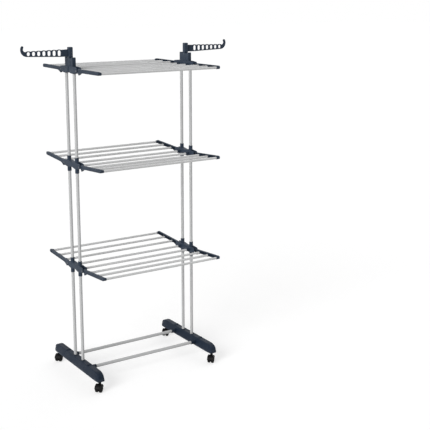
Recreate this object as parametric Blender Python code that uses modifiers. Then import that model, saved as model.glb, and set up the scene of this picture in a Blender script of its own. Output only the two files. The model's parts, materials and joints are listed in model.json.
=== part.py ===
# Rolling clothes airer: three tiers of rods with folding wings, two hanger arms, four casters.
# Lengths are in metres and +Z is up. The rods run along X and the front is towards -Y.
# The origin is on the floor, midway between the two ends.

import math

import bmesh
import bpy
from mathutils import Matrix, Vector

# Fits
CLEARANCE = 0.0003  # between pieces that touch
OVERRUN = 0.002  # by which a cut passes a face
WELD_DISTANCE = 0.00001

# Facets of round shapes
TUBE_SIDES = 12
ROD_SIDES = 8
WHEEL_SIDES = 16
PIN_SIDES = 8
ARC_STEPS = 4
CORNER_STEPS = 3
SHARP_ANGLE = math.radians(35)

# Frame of tubes
END_SPACING = 0.667  # between the post planes of the two ends
POST_SPACING = 0.088  # between the front and the back post of one end
POST_RADIUS = 0.008
POST_WALL = 0.0008
STRETCHER_SPACING = 0.206
STRETCHER_HEIGHT = 0.076
STRETCHER_RADIUS = 0.0085
STRETCHER_WALL = 0.0008
ROD_RADIUS = 0.0045
ROD_WALL = 0.0005

# Heights of the bracket centres
LOWER_TIER_HEIGHT = 0.592
MIDDLE_TIER_HEIGHT = 1.124
TOP_TIER_HEIGHT = 1.596

# Foot beam, a moulded shell that is open underneath
FOOT_LENGTH = 0.518
FOOT_WIDTH = 0.043
FOOT_SHIFT = 0.0035  # of the beam's middle outwards from the posts
FOOT_BOTTOM = 0.056
FOOT_TOP = 0.101
FOOT_WALL = 0.0025
FOOT_CORNER = 0.006
FOOT_DRAFT = 0.0055  # by which each side leans in
FOOT_SKIRT = 0.012  # of upright wall above the lower edge
FOOT_DOME_LENGTH = 0.048
FOOT_END_WIDTH = 0.027
FOOT_END_TOP = 0.079
FOOT_COLLAR_SINK = 0.0016  # of a post's collar below the beam's top
FOOT_SOCKET_FLOOR = 0.064
FOOT_SOCKET_REACH = 0.044  # of the stretcher sockets, from the post plane inwards
FOOT_WINDOW_LENGTH = 0.006
FOOT_WINDOW_WIDTH = 0.013
FOOT_WINDOW_WALL = 0.0012  # between a post and the windows at its front and back
FOOT_BUMP_INSET = 0.135  # from the beam's end
FOOT_BUMP_LENGTH = 0.018
FOOT_BUMP_HEIGHT = 0.004
FOOT_BUMP_WIDTH = 0.022
FOOT_RIB_INSET = 0.112
FOOT_RIB_THICKNESS = 0.002
SOCKET_WALL = 0.002  # round a post or stretcher
DOME_SHARES = (0.0, 0.4, 0.7, 0.9, 1.0)

# Tier bracket: a block round the posts with two plates at each end for a wing arm
COLLAR_HALF_LENGTH = 0.039
BRACKET_HALF_HEIGHT = 0.0175
BRACKET_ARCH_TOP = 0.0045  # by which the edge dips between the posts
BRACKET_ARCH_BOTTOM = 0.0065
FILLET_RADIUS = 0.008
FILLET_THICKNESS = 0.012
PLATE_THICKNESS = 0.003
PLATE_MARGIN = 0.009  # of the plate beyond the pivot
PLATE_TOP = 0.0145
PLATE_BOTTOM = 0.0105
PLATE_CORNER = 0.006
SLOT_START_GAP = 0.003  # from the collar to the slot for the arm
CENTRE_ROD_DROP = 0.003
CENTRE_SOCKET_REACH = 0.032  # from the post plane inwards
CENTRE_ROD_INSET = 0.0115
ROD_SOCKET_WALL = 0.0014

# Wing: two arms and three rods on a hinge along X
PIVOT_OUT = 0.085
PIVOT_DROP = 0.002
WING_TILT = math.radians(3.5)  # of the lower and middle wings, upwards
TOP_WING_TILT = math.radians(0.3)
FIRST_ROD_REACH = 0.056  # from the pivot
ROD_PITCH = 0.0825
RODS_PER_WING = 3
ARM_HEIGHT = 0.0175
ARM_TIP_HEIGHT = 0.0172
ARM_END_RADIUS = 0.0078  # round the pivot
ARM_END_START = 110  # degrees, where the round of the pivot's end begins
ARM_SHOULDER = 0.011  # from the pivot to where the arm has its full height
ARM_DEPTH = 0.0115
ARM_HUB_DEPTH = 0.018  # of the pivot's hub, which fills the bracket's slot
ARM_OUTER = 0.007  # of its outer face beyond the post plane
ARM_WALL = 0.002
ARM_ROD_DROP = 0.0015  # of the rods and the pivot below the arm's middle
ARM_SOCKET_PROUD = 0.0075
ARM_SLOT_CLEARANCE = 0.0005
FLARE_START = 0.0135
FLARE_NECK = 0.0008  # of the lower edge before the flare
FLARE_CORNER = 0.0175
FLARE_END = 0.057
FLARE_DEPTH = 0.012
FLARE_POINTS = 4
FLARE_HOLE_RADIUS = 0.0026
ARM_PANEL_DEPTH = 0.0007
ARM_PANEL_HEIGHT = 0.009
ARM_PANEL_START = 0.024
ARM_PANEL_END = 0.010  # short of the last rod
ARM_NOTCH_START = 0.0085
ARM_NOTCH_LENGTH = 0.006
ARM_NOTCH_HEIGHT = 0.011
PIVOT_PIN_RADIUS = 0.0025
PIVOT_BOSS_WALL = 0.0028
PIVOT_BOSS_STEP = 0.0002  # between the hub and the slot's far side, beyond the slot's clearance
PIN_HEAD_RADIUS = 0.0046
PIN_HEAD_THICKNESS = 0.0015

# Top bracket's tower and the hanger arm that turns on it
TOWER_HALF_WIDTH = 0.043
TOWER_DEPTH = 0.0185
TOWER_TOP = 0.056  # above the bracket's centre
TOWER_CORNER_WIDTH = 0.013
TOWER_CORNER_HEIGHT = 0.004
TOWER_GROOVE_WIDTH = 0.003
TOWER_GROOVE_DEPTH = 0.001
TOWER_GROOVE_PLACE = 0.018
BODY_SLOT_HALF_WIDTH = 0.0045
BODY_SLOT_DEPTH = 0.002
TOP_SOCKET_RISE = 0.010  # of the post sockets above the bracket's centre
STEM_RADIUS = 0.0062
STEM_LENGTH = 0.030
BOSS_WIDTH = 0.021
BOSS_DEPTH = 0.022
BOSS_HEIGHT = 0.053
BOSS_ROUNDING = 0.002
BOSS_ROUNDING_STEPS = 2
HANGER_THICKNESS = 0.0055
HANGER_REACH = 0.256
HANGER_HOLES = 7
FIRST_HOLE_REACH = 0.0575
HOLE_PITCH = 0.0265
HOLE_WIDTH = 0.0165
FIRST_HOLE_HEIGHT = 0.028
LAST_HOLE_HEIGHT = 0.019
HANGER_BOTTOM = 0.007  # of the arm's lower edge above the tower, at the boss
HANGER_RISE = 0.006  # of the lower edge from the boss to the hook
RING_WALL = 0.004
SCALLOP_DEPTH = 0.003
HOOK_RADIUS = 0.033
HOOK_CURL = 27  # degrees past level, of the hook's tip
HOOK_NOTCH_RADIUS = 0.0123  # of the hook's inside
HOOK_NOTCH_SHIFT = 0.0077  # of the inside's centre outwards from the outside's
HOOK_NOTCH_RISE = 0.0025
HOOK_NOTCH_CURL = 35
HOLE_STEPS = 12
HOOK_STEPS = 8
HOOK_NOTCH_STEPS = 5
HOOK_TIP_STEPS = 3

# Caster: a swivel hood on a stem, with two wheels on one axle
CASTER_INSET = 0.020  # of the caster's stem from the beam's end
CASTER_REST_TURN = math.radians(-50)
WHEEL_RADIUS = 0.020
WHEEL_WIDTH = 0.0105
WHEEL_GAP = 0.0095  # between the two wheels of a caster
WHEEL_ROUNDING = 0.002
HUB_RADIUS = 0.011
HUB_RECESS = 0.001
CASTER_TRAIL = 0.012
HOOD_WALL = 0.0021
HOOD_WHEEL_GAP = 0.0012
HOOD_SIDE_MARGIN = 0.0006
HOOD_ARC_STEPS = 10
HOOD_DIP_ANGLE = math.radians(15)  # of the web between the wheels, below the axle
HOOD_EDGE_RISE = 0.003  # of the fender's lower edge above the axle
AXLE_RADIUS = 0.0022
NECK_RADIUS = 0.0075
CASTER_STEM_RADIUS = 0.004
CASTER_STEM_TOP = 0.086
FLANGE_RADIUS = 0.0068
FLANGE_THICKNESS = 0.0022
FLANGE_DROP = 0.0005  # of the flange below the foot
STEM_SOCKET_WALL = 0.0032

# Colours
SLATE = (0.062, 0.076, 0.098, 1.0)
TUBE_GREY = (0.48, 0.49, 0.49, 1.0)
CASTER_BLACK = (0.012, 0.012, 0.013, 1.0)

# Outlines drawn in X and Z, and in Y and Z
SIDE_VIEW = Matrix.Rotation(math.radians(90), 4, "X")
END_VIEW = Matrix(((0, 0, 1, 0), (1, 0, 0, 0), (0, 1, 0, 0), (0, 0, 0, 1)))
ALONG_X = Matrix.Rotation(math.radians(90), 4, "Y")

post_out = POST_SPACING / 2
collar_radius = POST_RADIUS + CLEARANCE + SOCKET_WALL
bracket_outer = ARM_OUTER + ARM_SLOT_CLEARANCE + PLATE_THICKNESS
arm_inner = ARM_HUB_DEPTH - ARM_OUTER
bracket_inner = arm_inner + ARM_SLOT_CLEARANCE + PLATE_THICKNESS
bracket_middle = (bracket_inner - bracket_outer) / 2
slot_start = post_out + collar_radius + SLOT_START_GAP
rod_reaches = [FIRST_ROD_REACH + ROD_PITCH * index for index in range(RODS_PER_WING)]
foot_out = END_SPACING / 2 + FOOT_SHIFT
caster_out = FOOT_LENGTH / 2 - CASTER_INSET
axle_height = WHEEL_RADIUS * math.cos(math.pi / WHEEL_SIDES)
tower_floor = TOP_TIER_HEIGHT + TOWER_TOP

TIER_HEIGHTS = {"lower": LOWER_TIER_HEIGHT, "middle": MIDDLE_TIER_HEIGHT, "top": TOP_TIER_HEIGHT}

LOOKS = {
    "plastic": (SLATE, 0.45, 0.0),
    "tube": (TUBE_GREY, 0.35, 0.2),
    "caster": (CASTER_BLACK, 0.5, 0.0),
}


def start_scene():
    for old in list(bpy.data.objects):
        bpy.data.objects.remove(old, do_unlink=True)
    for name in ("clothes_airer", "cutters"):
        collection = bpy.data.collections.new(name)
        bpy.context.scene.collection.children.link(collection)


def raw_object(name, data):
    obj = bpy.data.objects.new(name, data)
    bpy.data.collections["cutters"].objects.link(obj)
    obj.hide_render = True
    obj.display_type = "WIRE"
    return obj


def finished_mesh(obj):
    # The object's mesh with its modifiers worked in, and the object removed
    bpy.context.view_layer.update()
    evaluated = obj.evaluated_get(bpy.context.evaluated_depsgraph_get())
    mesh = bpy.data.meshes.new_from_object(evaluated)
    mesh.transform(obj.matrix_world)
    bpy.data.objects.remove(obj)
    return mesh


def weld(mesh):
    cage = bmesh.new()
    cage.from_mesh(mesh)
    bmesh.ops.remove_doubles(cage, verts=cage.verts, dist=WELD_DISTANCE)
    cage.to_mesh(mesh)
    cage.free()


def prism(outlines, thickness, view, shift=(0, 0, 0)):
    # A flat plate from closed outlines, the first one outside and the others its holes
    curve = bpy.data.curves.new("outline", "CURVE")
    curve.dimensions = "2D"
    curve.fill_mode = "BOTH"
    curve.extrude = thickness / 2
    for outline in outlines:
        spline = curve.splines.new("POLY")
        spline.points.add(len(outline) - 1)
        for point, (across, up) in zip(spline.points, outline):
            point.co = (across, up, 0, 1)
        spline.use_cyclic_u = True
    mesh = finished_mesh(raw_object("outline", curve))
    weld(mesh)
    mesh.transform(Matrix.Translation(shift) @ view)
    return raw_object("prism", mesh)


def cylinder(radius, start, end, sides=TUBE_SIDES):
    along = Vector(end) - Vector(start)
    middle = (Vector(end) + Vector(start)) / 2
    place = Matrix.Translation(middle) @ along.to_track_quat("Z", "Y").to_matrix().to_4x4()
    mesh = bpy.data.meshes.new("cylinder")
    cage = bmesh.new()
    bmesh.ops.create_cone(cage, cap_ends=True, segments=sides, radius1=radius, radius2=radius,
                          depth=along.length, matrix=place)
    cage.to_mesh(mesh)
    cage.free()
    return raw_object("cylinder", mesh)


def box(low, high):
    size = Vector(high) - Vector(low)
    middle = (Vector(high) + Vector(low)) / 2
    mesh = bpy.data.meshes.new("box")
    cage = bmesh.new()
    bmesh.ops.create_cube(cage, size=1, matrix=Matrix.Translation(middle) @ Matrix.Diagonal((*size, 1)))
    cage.to_mesh(mesh)
    cage.free()
    return raw_object("box", mesh)


def turned(profile, sides, closed=False):
    # A profile of radius and height, turned round Z; a closed one leaves a bore
    points = [(radius, 0, height) for radius, height in profile]
    edges = [(index, index + 1) for index in range(len(points) - 1)]
    if closed:
        edges.append((len(points) - 1, 0))
    mesh = bpy.data.meshes.new("profile")
    mesh.from_pydata(points, edges, [])
    obj = raw_object("turned", mesh)
    screw = obj.modifiers.new("Screw", "SCREW")
    screw.steps = sides
    screw.render_steps = sides
    screw.use_merge_vertices = True
    screw.merge_threshold = WELD_DISTANCE
    return obj


def combined(body, steps):
    # The body after a list of unions and cuts, as one mesh
    for operation, piece in steps:
        modifier = body.modifiers.new(operation, "BOOLEAN")
        modifier.operation = operation
        modifier.object = piece
    mesh = finished_mesh(body)
    for operation, piece in steps:
        bpy.data.objects.remove(piece)
    return mesh


def bore_radius(radius, sides):
    # A faceted bore whose flats clear the round piece in it
    return (radius + CLEARANCE) / math.cos(math.pi / sides)


def arc(centre, radius, start_angle, end_angle, steps=ARC_STEPS):
    points = []
    for step in range(steps + 1):
        angle = math.radians(start_angle + (end_angle - start_angle) * step / steps)
        points.append((centre[0] + radius * math.cos(angle), centre[1] + radius * math.sin(angle)))
    return points


def mirrored(half):
    # A closed outline from its right half, listed from the top middle to the bottom middle
    return half + [(-across, up) for across, up in reversed(half) if across > 0]


def place(name, mesh, look, parent=None, location=(0, 0, 0), rotation=(0, 0, 0)):
    colour, roughness, metallic = LOOKS[look]
    mesh.shade_smooth()
    mesh.set_sharp_from_angle(angle=SHARP_ANGLE)
    obj = bpy.data.objects.new(name, mesh)
    bpy.data.collections["clothes_airer"].objects.link(obj)
    obj.parent = parent
    obj.location = location
    obj.rotation_euler = rotation
    material = bpy.data.materials.new(name)
    material.use_nodes = True
    shader = material.node_tree.nodes["Principled BSDF"]
    shader.inputs["Base Color"].default_value = colour
    shader.inputs["Roughness"].default_value = roughness
    shader.inputs["Metallic"].default_value = metallic
    if not mesh.materials:
        mesh.materials.append(None)
    obj.material_slots[0].link = "OBJECT"
    obj.material_slots[0].material = material
    return obj


def pivot(name, location, rotation=(0, 0, 0)):
    empty = bpy.data.objects.new(name, None)
    bpy.data.collections["clothes_airer"].objects.link(empty)
    empty.location = location
    empty.rotation_euler = rotation
    return empty


def tube_mesh(radius, wall, length, sides):
    inner = radius - wall
    profile = [(radius, length / 2), (radius, -length / 2), (inner, -length / 2), (inner, length / 2)]
    return finished_mesh(turned(profile, sides, closed=True))


# Foot beams


def foot_section(share):
    # Half of the beam's cross-section, from the bottom edge to the top, at a share of its dome
    fullness = math.sqrt(1 - share * share)
    half_width = (FOOT_END_WIDTH + (FOOT_WIDTH - FOOT_END_WIDTH) * fullness) / 2
    top = FOOT_END_TOP + (FOOT_TOP - FOOT_END_TOP) * fullness
    height_share = (top - FOOT_BOTTOM) / (FOOT_TOP - FOOT_BOTTOM)
    top_half_width = half_width - FOOT_DRAFT * height_share
    corner = [(top_half_width - FOOT_CORNER + across, top - FOOT_CORNER + up)
              for across, up in arc((0, 0), FOOT_CORNER, 0, 90, CORNER_STEPS)]
    return [(half_width, FOOT_BOTTOM), (half_width, FOOT_BOTTOM + FOOT_SKIRT * height_share)] + corner


def foot_half_width(along):
    # Of the beam's top face edge at a distance from its middle
    share = max(0, (along - FOOT_LENGTH / 2 + FOOT_DOME_LENGTH) / FOOT_DOME_LENGTH)
    return foot_section(share)[2][0]


def roof_height(along):
    # Of the beam's top at a distance from its middle
    share = max(0, (along - FOOT_LENGTH / 2 + FOOT_DOME_LENGTH) / FOOT_DOME_LENGTH)
    return foot_section(share)[-1][1]


def foot_shell():
    stations = [(-1, share) for share in reversed(DOME_SHARES)] + [(1, share) for share in DOME_SHARES]
    cage = bmesh.new()
    rows = []
    for side, share in stations:
        along = side * (FOOT_LENGTH / 2 - FOOT_DOME_LENGTH * (1 - share))
        half = foot_section(share)
        outline = half + [(-across, up) for across, up in reversed(half)]
        rows.append([cage.verts.new((across, along, up)) for across, up in outline])
    for row, following in zip(rows, rows[1:]):
        for index in range(len(row) - 1):
            cage.faces.new((row[index], following[index], following[index + 1], row[index + 1]))
    cage.faces.new(rows[0])
    cage.faces.new(tuple(reversed(rows[-1])))
    mesh = bpy.data.meshes.new("foot")
    cage.to_mesh(mesh)
    cage.free()
    shell = raw_object("foot", mesh)
    solidify = shell.modifiers.new("Solidify", "SOLIDIFY")
    solidify.thickness = FOOT_WALL
    solidify.offset = -1
    solidify.use_even_offset = True
    return shell


def foot_bump(along, roof):
    # A low ridge across the beam's top, rooted inside the wall
    base = FOOT_BUMP_LENGTH / 2
    crest = FOOT_TOP + FOOT_BUMP_HEIGHT
    outline = [(along - base, roof), (along + base, roof),
               (along + base / 2, crest), (along - base / 2, crest)]
    return prism([outline], FOOT_BUMP_WIDTH, END_VIEW)


def foot_mesh():
    stretcher_out = STRETCHER_SPACING / 2
    socket_radius = STRETCHER_RADIUS + CLEARANCE + SOCKET_WALL
    stem_socket_radius = CASTER_STEM_RADIUS + CLEARANCE + STEM_SOCKET_WALL
    roof = FOOT_TOP - FOOT_WALL / 2
    stem_roof = roof_height(caster_out + stem_socket_radius) - FOOT_WALL / 2
    rib_roof = FOOT_TOP - FOOT_CORNER
    side_wall = FOOT_WIDTH / 2 - FOOT_DRAFT - FOOT_WALL / 2
    socket_back = FOOT_WIDTH / 2 - FOOT_DRAFT
    socket_end = FOOT_SHIFT + FOOT_SOCKET_REACH
    window_near = POST_RADIUS + CLEARANCE + FOOT_WINDOW_WALL
    steps = []
    for side in (-1, 1):
        post = side * post_out
        stretcher = side * stretcher_out
        caster = side * caster_out
        rib = side * (FOOT_LENGTH / 2 - FOOT_RIB_INSET)
        bump = side * (FOOT_LENGTH / 2 - FOOT_BUMP_INSET)
        steps += [
            ("UNION", cylinder(collar_radius, (FOOT_SHIFT, post, FOOT_BOTTOM + OVERRUN),
                               (FOOT_SHIFT, post, FOOT_TOP - FOOT_COLLAR_SINK))),
            ("UNION", cylinder(socket_radius, (-socket_back, stretcher, STRETCHER_HEIGHT),
                               (socket_end, stretcher, STRETCHER_HEIGHT))),
            ("UNION", cylinder(stem_socket_radius, (0, caster, FOOT_BOTTOM), (0, caster, stem_roof),
                               ROD_SIDES)),
            ("UNION", box((FOOT_WALL / 2 - foot_half_width(caster_out), caster - FOOT_RIB_THICKNESS / 2,
                           FOOT_BOTTOM + OVERRUN),
                          (foot_half_width(caster_out) - FOOT_WALL / 2, caster + FOOT_RIB_THICKNESS / 2,
                           roof_height(caster_out) - FOOT_CORNER))),
            ("UNION", box((-side_wall, rib - FOOT_RIB_THICKNESS / 2, FOOT_BOTTOM + OVERRUN),
                          (side_wall, rib + FOOT_RIB_THICKNESS / 2, rib_roof))),
            ("UNION", foot_bump(bump, roof)),
            ("DIFFERENCE", cylinder(bore_radius(POST_RADIUS, TUBE_SIDES),
                                    (FOOT_SHIFT, post, FOOT_SOCKET_FLOOR),
                                    (FOOT_SHIFT, post, FOOT_TOP + OVERRUN))),
            ("DIFFERENCE", cylinder(bore_radius(STRETCHER_RADIUS, TUBE_SIDES),
                                    (FOOT_WALL - socket_back, stretcher, STRETCHER_HEIGHT),
                                    (socket_end + OVERRUN, stretcher, STRETCHER_HEIGHT))),
            ("DIFFERENCE", cylinder(bore_radius(CASTER_STEM_RADIUS, ROD_SIDES),
                                    (0, caster, FOOT_BOTTOM - OVERRUN), (0, caster, CASTER_STEM_TOP),
                                    ROD_SIDES)),
        ]
        for window in (post + window_near, post - window_near - FOOT_WINDOW_LENGTH):
            steps.append(("DIFFERENCE", box((FOOT_SHIFT - FOOT_WINDOW_WIDTH / 2, window,
                                             FOOT_TOP - FOOT_WALL - OVERRUN),
                                            (FOOT_SHIFT + FOOT_WINDOW_WIDTH / 2, window + FOOT_WINDOW_LENGTH,
                                             FOOT_TOP + OVERRUN))))
    steps.sort(key=lambda step: step[0] == "DIFFERENCE")
    return combined(foot_shell(), steps)


def add_feet():
    mesh = foot_mesh()
    for name, side in (("left", -1), ("right", 1)):
        turn = 0 if side < 0 else math.pi
        place(f"{name}_foot_beam", mesh, "plastic", None, (side * foot_out, 0, 0), (0, 0, turn))


# Tubes of the frame


def add_posts():
    low = FOOT_SOCKET_FLOOR + CLEARANCE
    high = TOP_TIER_HEIGHT + TOP_SOCKET_RISE - CLEARANCE
    mesh = tube_mesh(POST_RADIUS, POST_WALL, high - low, TUBE_SIDES)
    for end, side in (("left", -1), ("right", 1)):
        for row, depth in (("front", -1), ("back", 1)):
            spot = (side * END_SPACING / 2, depth * post_out, (low + high) / 2)
            place(f"{row}_{end}_post", mesh, "tube", None, spot)


def add_stretchers():
    length = 2 * (foot_out + FOOT_WIDTH / 2 - FOOT_DRAFT - FOOT_WALL - CLEARANCE)
    mesh = tube_mesh(STRETCHER_RADIUS, STRETCHER_WALL, length, TUBE_SIDES)
    mesh.transform(ALONG_X)
    for row, depth in (("front", -1), ("back", 1)):
        place(f"{row}_stretcher", mesh, "tube", None, (0, depth * STRETCHER_SPACING / 2, STRETCHER_HEIGHT))


def add_centre_rods():
    length = END_SPACING - 2 * (CENTRE_ROD_INSET + CLEARANCE)
    mesh = tube_mesh(ROD_RADIUS, ROD_WALL, length, ROD_SIDES)
    mesh.transform(ALONG_X)
    for tier, height in TIER_HEIGHTS.items():
        for row, depth in (("front", -1), ("back", 1)):
            place(f"{tier}_{row}_centre_rod", mesh, "tube", None,
                  (0, depth * post_out, height - CENTRE_ROD_DROP))


# Tier brackets


def bracket_outline(arch_top, arch_bottom):
    # Half outline in Y and Z: the block round the posts and the plates out to the pivot
    inner_edge = post_out - collar_radius
    outer_edge = post_out + collar_radius
    end = PIVOT_OUT + PLATE_MARGIN
    top_corner = arc((end - PLATE_CORNER, PLATE_TOP - PLATE_CORNER), PLATE_CORNER, 90, 0, CORNER_STEPS)
    bottom_corner = arc((end - PLATE_CORNER, PLATE_CORNER - PLATE_BOTTOM), PLATE_CORNER, 0, -90, CORNER_STEPS)
    half = [(0, BRACKET_HALF_HEIGHT - arch_top), (inner_edge, BRACKET_HALF_HEIGHT),
            (outer_edge, BRACKET_HALF_HEIGHT)]
    half += top_corner + bottom_corner
    half += [(outer_edge, -BRACKET_HALF_HEIGHT), (inner_edge, -BRACKET_HALF_HEIGHT),
             (0, arch_bottom - BRACKET_HALF_HEIGHT)]
    return mirrored(half)


def bracket_block(arch_top, arch_bottom):
    thickness = bracket_outer + bracket_inner
    return prism([bracket_outline(arch_top, arch_bottom)], thickness, END_VIEW, (bracket_middle, 0, 0))


def fillet_web(post, directions):
    # Curved webs that run from the block up and down the sides of a collar
    reach = collar_radius + FILLET_RADIUS
    level = BRACKET_HALF_HEIGHT - FILLET_RADIUS / 4
    outline = []
    if 1 in directions:
        outline += [(post + across, up) for across, up in arc((reach, level + FILLET_RADIUS),
                                                              FILLET_RADIUS, 270, 180, CORNER_STEPS)]
        outline += [(post + across, up) for across, up in arc((-reach, level + FILLET_RADIUS),
                                                              FILLET_RADIUS, 0, -90, CORNER_STEPS)]
    if -1 in directions:
        outline += [(post + across, up) for across, up in arc((-reach, -level - FILLET_RADIUS),
                                                              FILLET_RADIUS, 90, 0, CORNER_STEPS)]
        outline += [(post + across, up) for across, up in arc((reach, -level - FILLET_RADIUS),
                                                              FILLET_RADIUS, 180, 90, CORNER_STEPS)]
    return prism([outline], FILLET_THICKNESS, END_VIEW)


def clevis_steps():
    # Slots for the wing arms, and the headed pin across each slot
    cuts = []
    pins = []
    end = PIVOT_OUT + PLATE_MARGIN + OVERRUN
    for side in (-1, 1):
        near, far = sorted((side * slot_start, side * end))
        cuts.append(("DIFFERENCE", box((-ARM_OUTER - ARM_SLOT_CLEARANCE, near,
                                        -BRACKET_HALF_HEIGHT - OVERRUN),
                                       (arm_inner + ARM_SLOT_CLEARANCE, far,
                                        BRACKET_HALF_HEIGHT + OVERRUN))))
        spot = (side * PIVOT_OUT, -PIVOT_DROP)
        pins.append(("UNION", cylinder(PIVOT_PIN_RADIUS, (-bracket_outer - PIN_HEAD_THICKNESS / 2, *spot),
                                       (bracket_inner - PLATE_THICKNESS / 2, *spot), PIN_SIDES)))
        pins.append(("UNION", cylinder(PIN_HEAD_RADIUS, (-bracket_outer - PIN_HEAD_THICKNESS, *spot),
                                       (-bracket_outer + PLATE_THICKNESS / 2, *spot), PIN_SIDES)))
    return cuts + pins


def centre_socket_steps():
    socket_radius = ROD_RADIUS + CLEARANCE + ROD_SOCKET_WALL
    unions = []
    bores = []
    for side in (-1, 1):
        spot = (side * post_out, -CENTRE_ROD_DROP)
        unions.append(("UNION", cylinder(socket_radius, (bracket_inner - OVERRUN, *spot),
                                         (CENTRE_SOCKET_REACH, *spot), ROD_SIDES)))
        bores.append(("DIFFERENCE", cylinder(bore_radius(ROD_RADIUS, ROD_SIDES), (CENTRE_ROD_INSET, *spot),
                                             (CENTRE_SOCKET_REACH + OVERRUN, *spot), ROD_SIDES)))
    return unions, bores


def bracket_mesh():
    sockets, bores = centre_socket_steps()
    steps = []
    for side in (-1, 1):
        post = side * post_out
        steps.append(("UNION", fillet_web(post, (1, -1))))
        steps.append(("UNION", cylinder(collar_radius, (0, post, -COLLAR_HALF_LENGTH),
                                        (0, post, COLLAR_HALF_LENGTH))))
    steps += sockets
    reach = COLLAR_HALF_LENGTH + OVERRUN
    for side in (-1, 1):
        post = side * post_out
        steps.append(("DIFFERENCE", cylinder(bore_radius(POST_RADIUS, TUBE_SIDES), (0, post, -reach),
                                             (0, post, reach))))
    return combined(bracket_block(BRACKET_ARCH_TOP, BRACKET_ARCH_BOTTOM), steps + bores + clevis_steps())


def tower_steps():
    # The tower on the top bracket, with raised corners, grooves and the hanger's socket
    front = bracket_middle - TOWER_DEPTH / 2
    back = bracket_middle + TOWER_DEPTH / 2
    foot = BRACKET_HALF_HEIGHT - OVERRUN
    slot_floor = BODY_SLOT_DEPTH - bracket_outer
    steps = [("UNION", box((front, -TOWER_HALF_WIDTH, foot), (back, TOWER_HALF_WIDTH, TOWER_TOP)))]
    for side in (-1, 1):
        near, far = sorted((side * TOWER_HALF_WIDTH, side * (TOWER_HALF_WIDTH - TOWER_CORNER_WIDTH)))
        steps.append(("UNION", box((front, near, TOWER_TOP - OVERRUN),
                                   (back, far, TOWER_TOP + TOWER_CORNER_HEIGHT))))
        groove = side * TOWER_GROOVE_PLACE
        steps.append(("DIFFERENCE", box((front - OVERRUN, groove - TOWER_GROOVE_WIDTH / 2,
                                         BRACKET_HALF_HEIGHT + OVERRUN),
                                        (front + TOWER_GROOVE_DEPTH, groove + TOWER_GROOVE_WIDTH / 2,
                                         TOWER_TOP + OVERRUN))))
    steps.append(("DIFFERENCE", box((-bracket_outer - OVERRUN, -BODY_SLOT_HALF_WIDTH,
                                     -BRACKET_HALF_HEIGHT - OVERRUN),
                                    (slot_floor, BODY_SLOT_HALF_WIDTH,
                                     BRACKET_HALF_HEIGHT - OVERRUN))))
    steps.append(("DIFFERENCE", cylinder(bore_radius(STEM_RADIUS, TUBE_SIDES),
                                         (bracket_middle, 0, TOWER_TOP - STEM_LENGTH - CLEARANCE),
                                         (bracket_middle, 0, TOWER_TOP + OVERRUN))))
    return steps


def top_bracket_mesh():
    sockets, bores = centre_socket_steps()
    steps = tower_steps() + sockets
    for side in (-1, 1):
        post = side * post_out
        steps.append(("DIFFERENCE", cylinder(bore_radius(POST_RADIUS, TUBE_SIDES),
                                             (0, post, -BRACKET_HALF_HEIGHT - OVERRUN),
                                             (0, post, TOP_SOCKET_RISE))))
    return combined(bracket_block(0, BRACKET_ARCH_TOP), steps + bores + clevis_steps())


def add_brackets():
    meshes = {"lower": bracket_mesh(), "top": top_bracket_mesh()}
    meshes["middle"] = meshes["lower"]
    for tier, height in TIER_HEIGHTS.items():
        for end, side in (("left", -1), ("right", 1)):
            turn = 0 if side < 0 else math.pi
            place(f"{tier}_{end}_bracket", meshes[tier], "plastic", None,
                  (side * END_SPACING / 2, 0, height), (0, 0, turn))


# Wings


def arm_outline(inset):
    # Outline in X and Z with the pivot at the origin, drawn in by the inset
    last_rod = rod_reaches[-1]
    top = ARM_ROD_DROP + ARM_HEIGHT / 2
    bottom = ARM_ROD_DROP - ARM_HEIGHT / 2
    inner_end = [(ARM_SHOULDER, top - inset)] + arc((0, 0), ARM_END_RADIUS - inset, ARM_END_START, 270)
    corner = FLARE_CORNER + inset
    flare = [(FLARE_START + inset, bottom + inset - FLARE_NECK)]
    for step in range(FLARE_POINTS):
        share = step / (FLARE_POINTS - 1)
        flare.append((corner + (FLARE_END - corner) * share,
                      bottom + inset - (FLARE_DEPTH - inset / 2) * (1 - share) ** 2))
    tip = arc((last_rod, ARM_ROD_DROP), ARM_TIP_HEIGHT / 2 - inset, -90, 90)
    return inner_end + flare + tip


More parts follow.
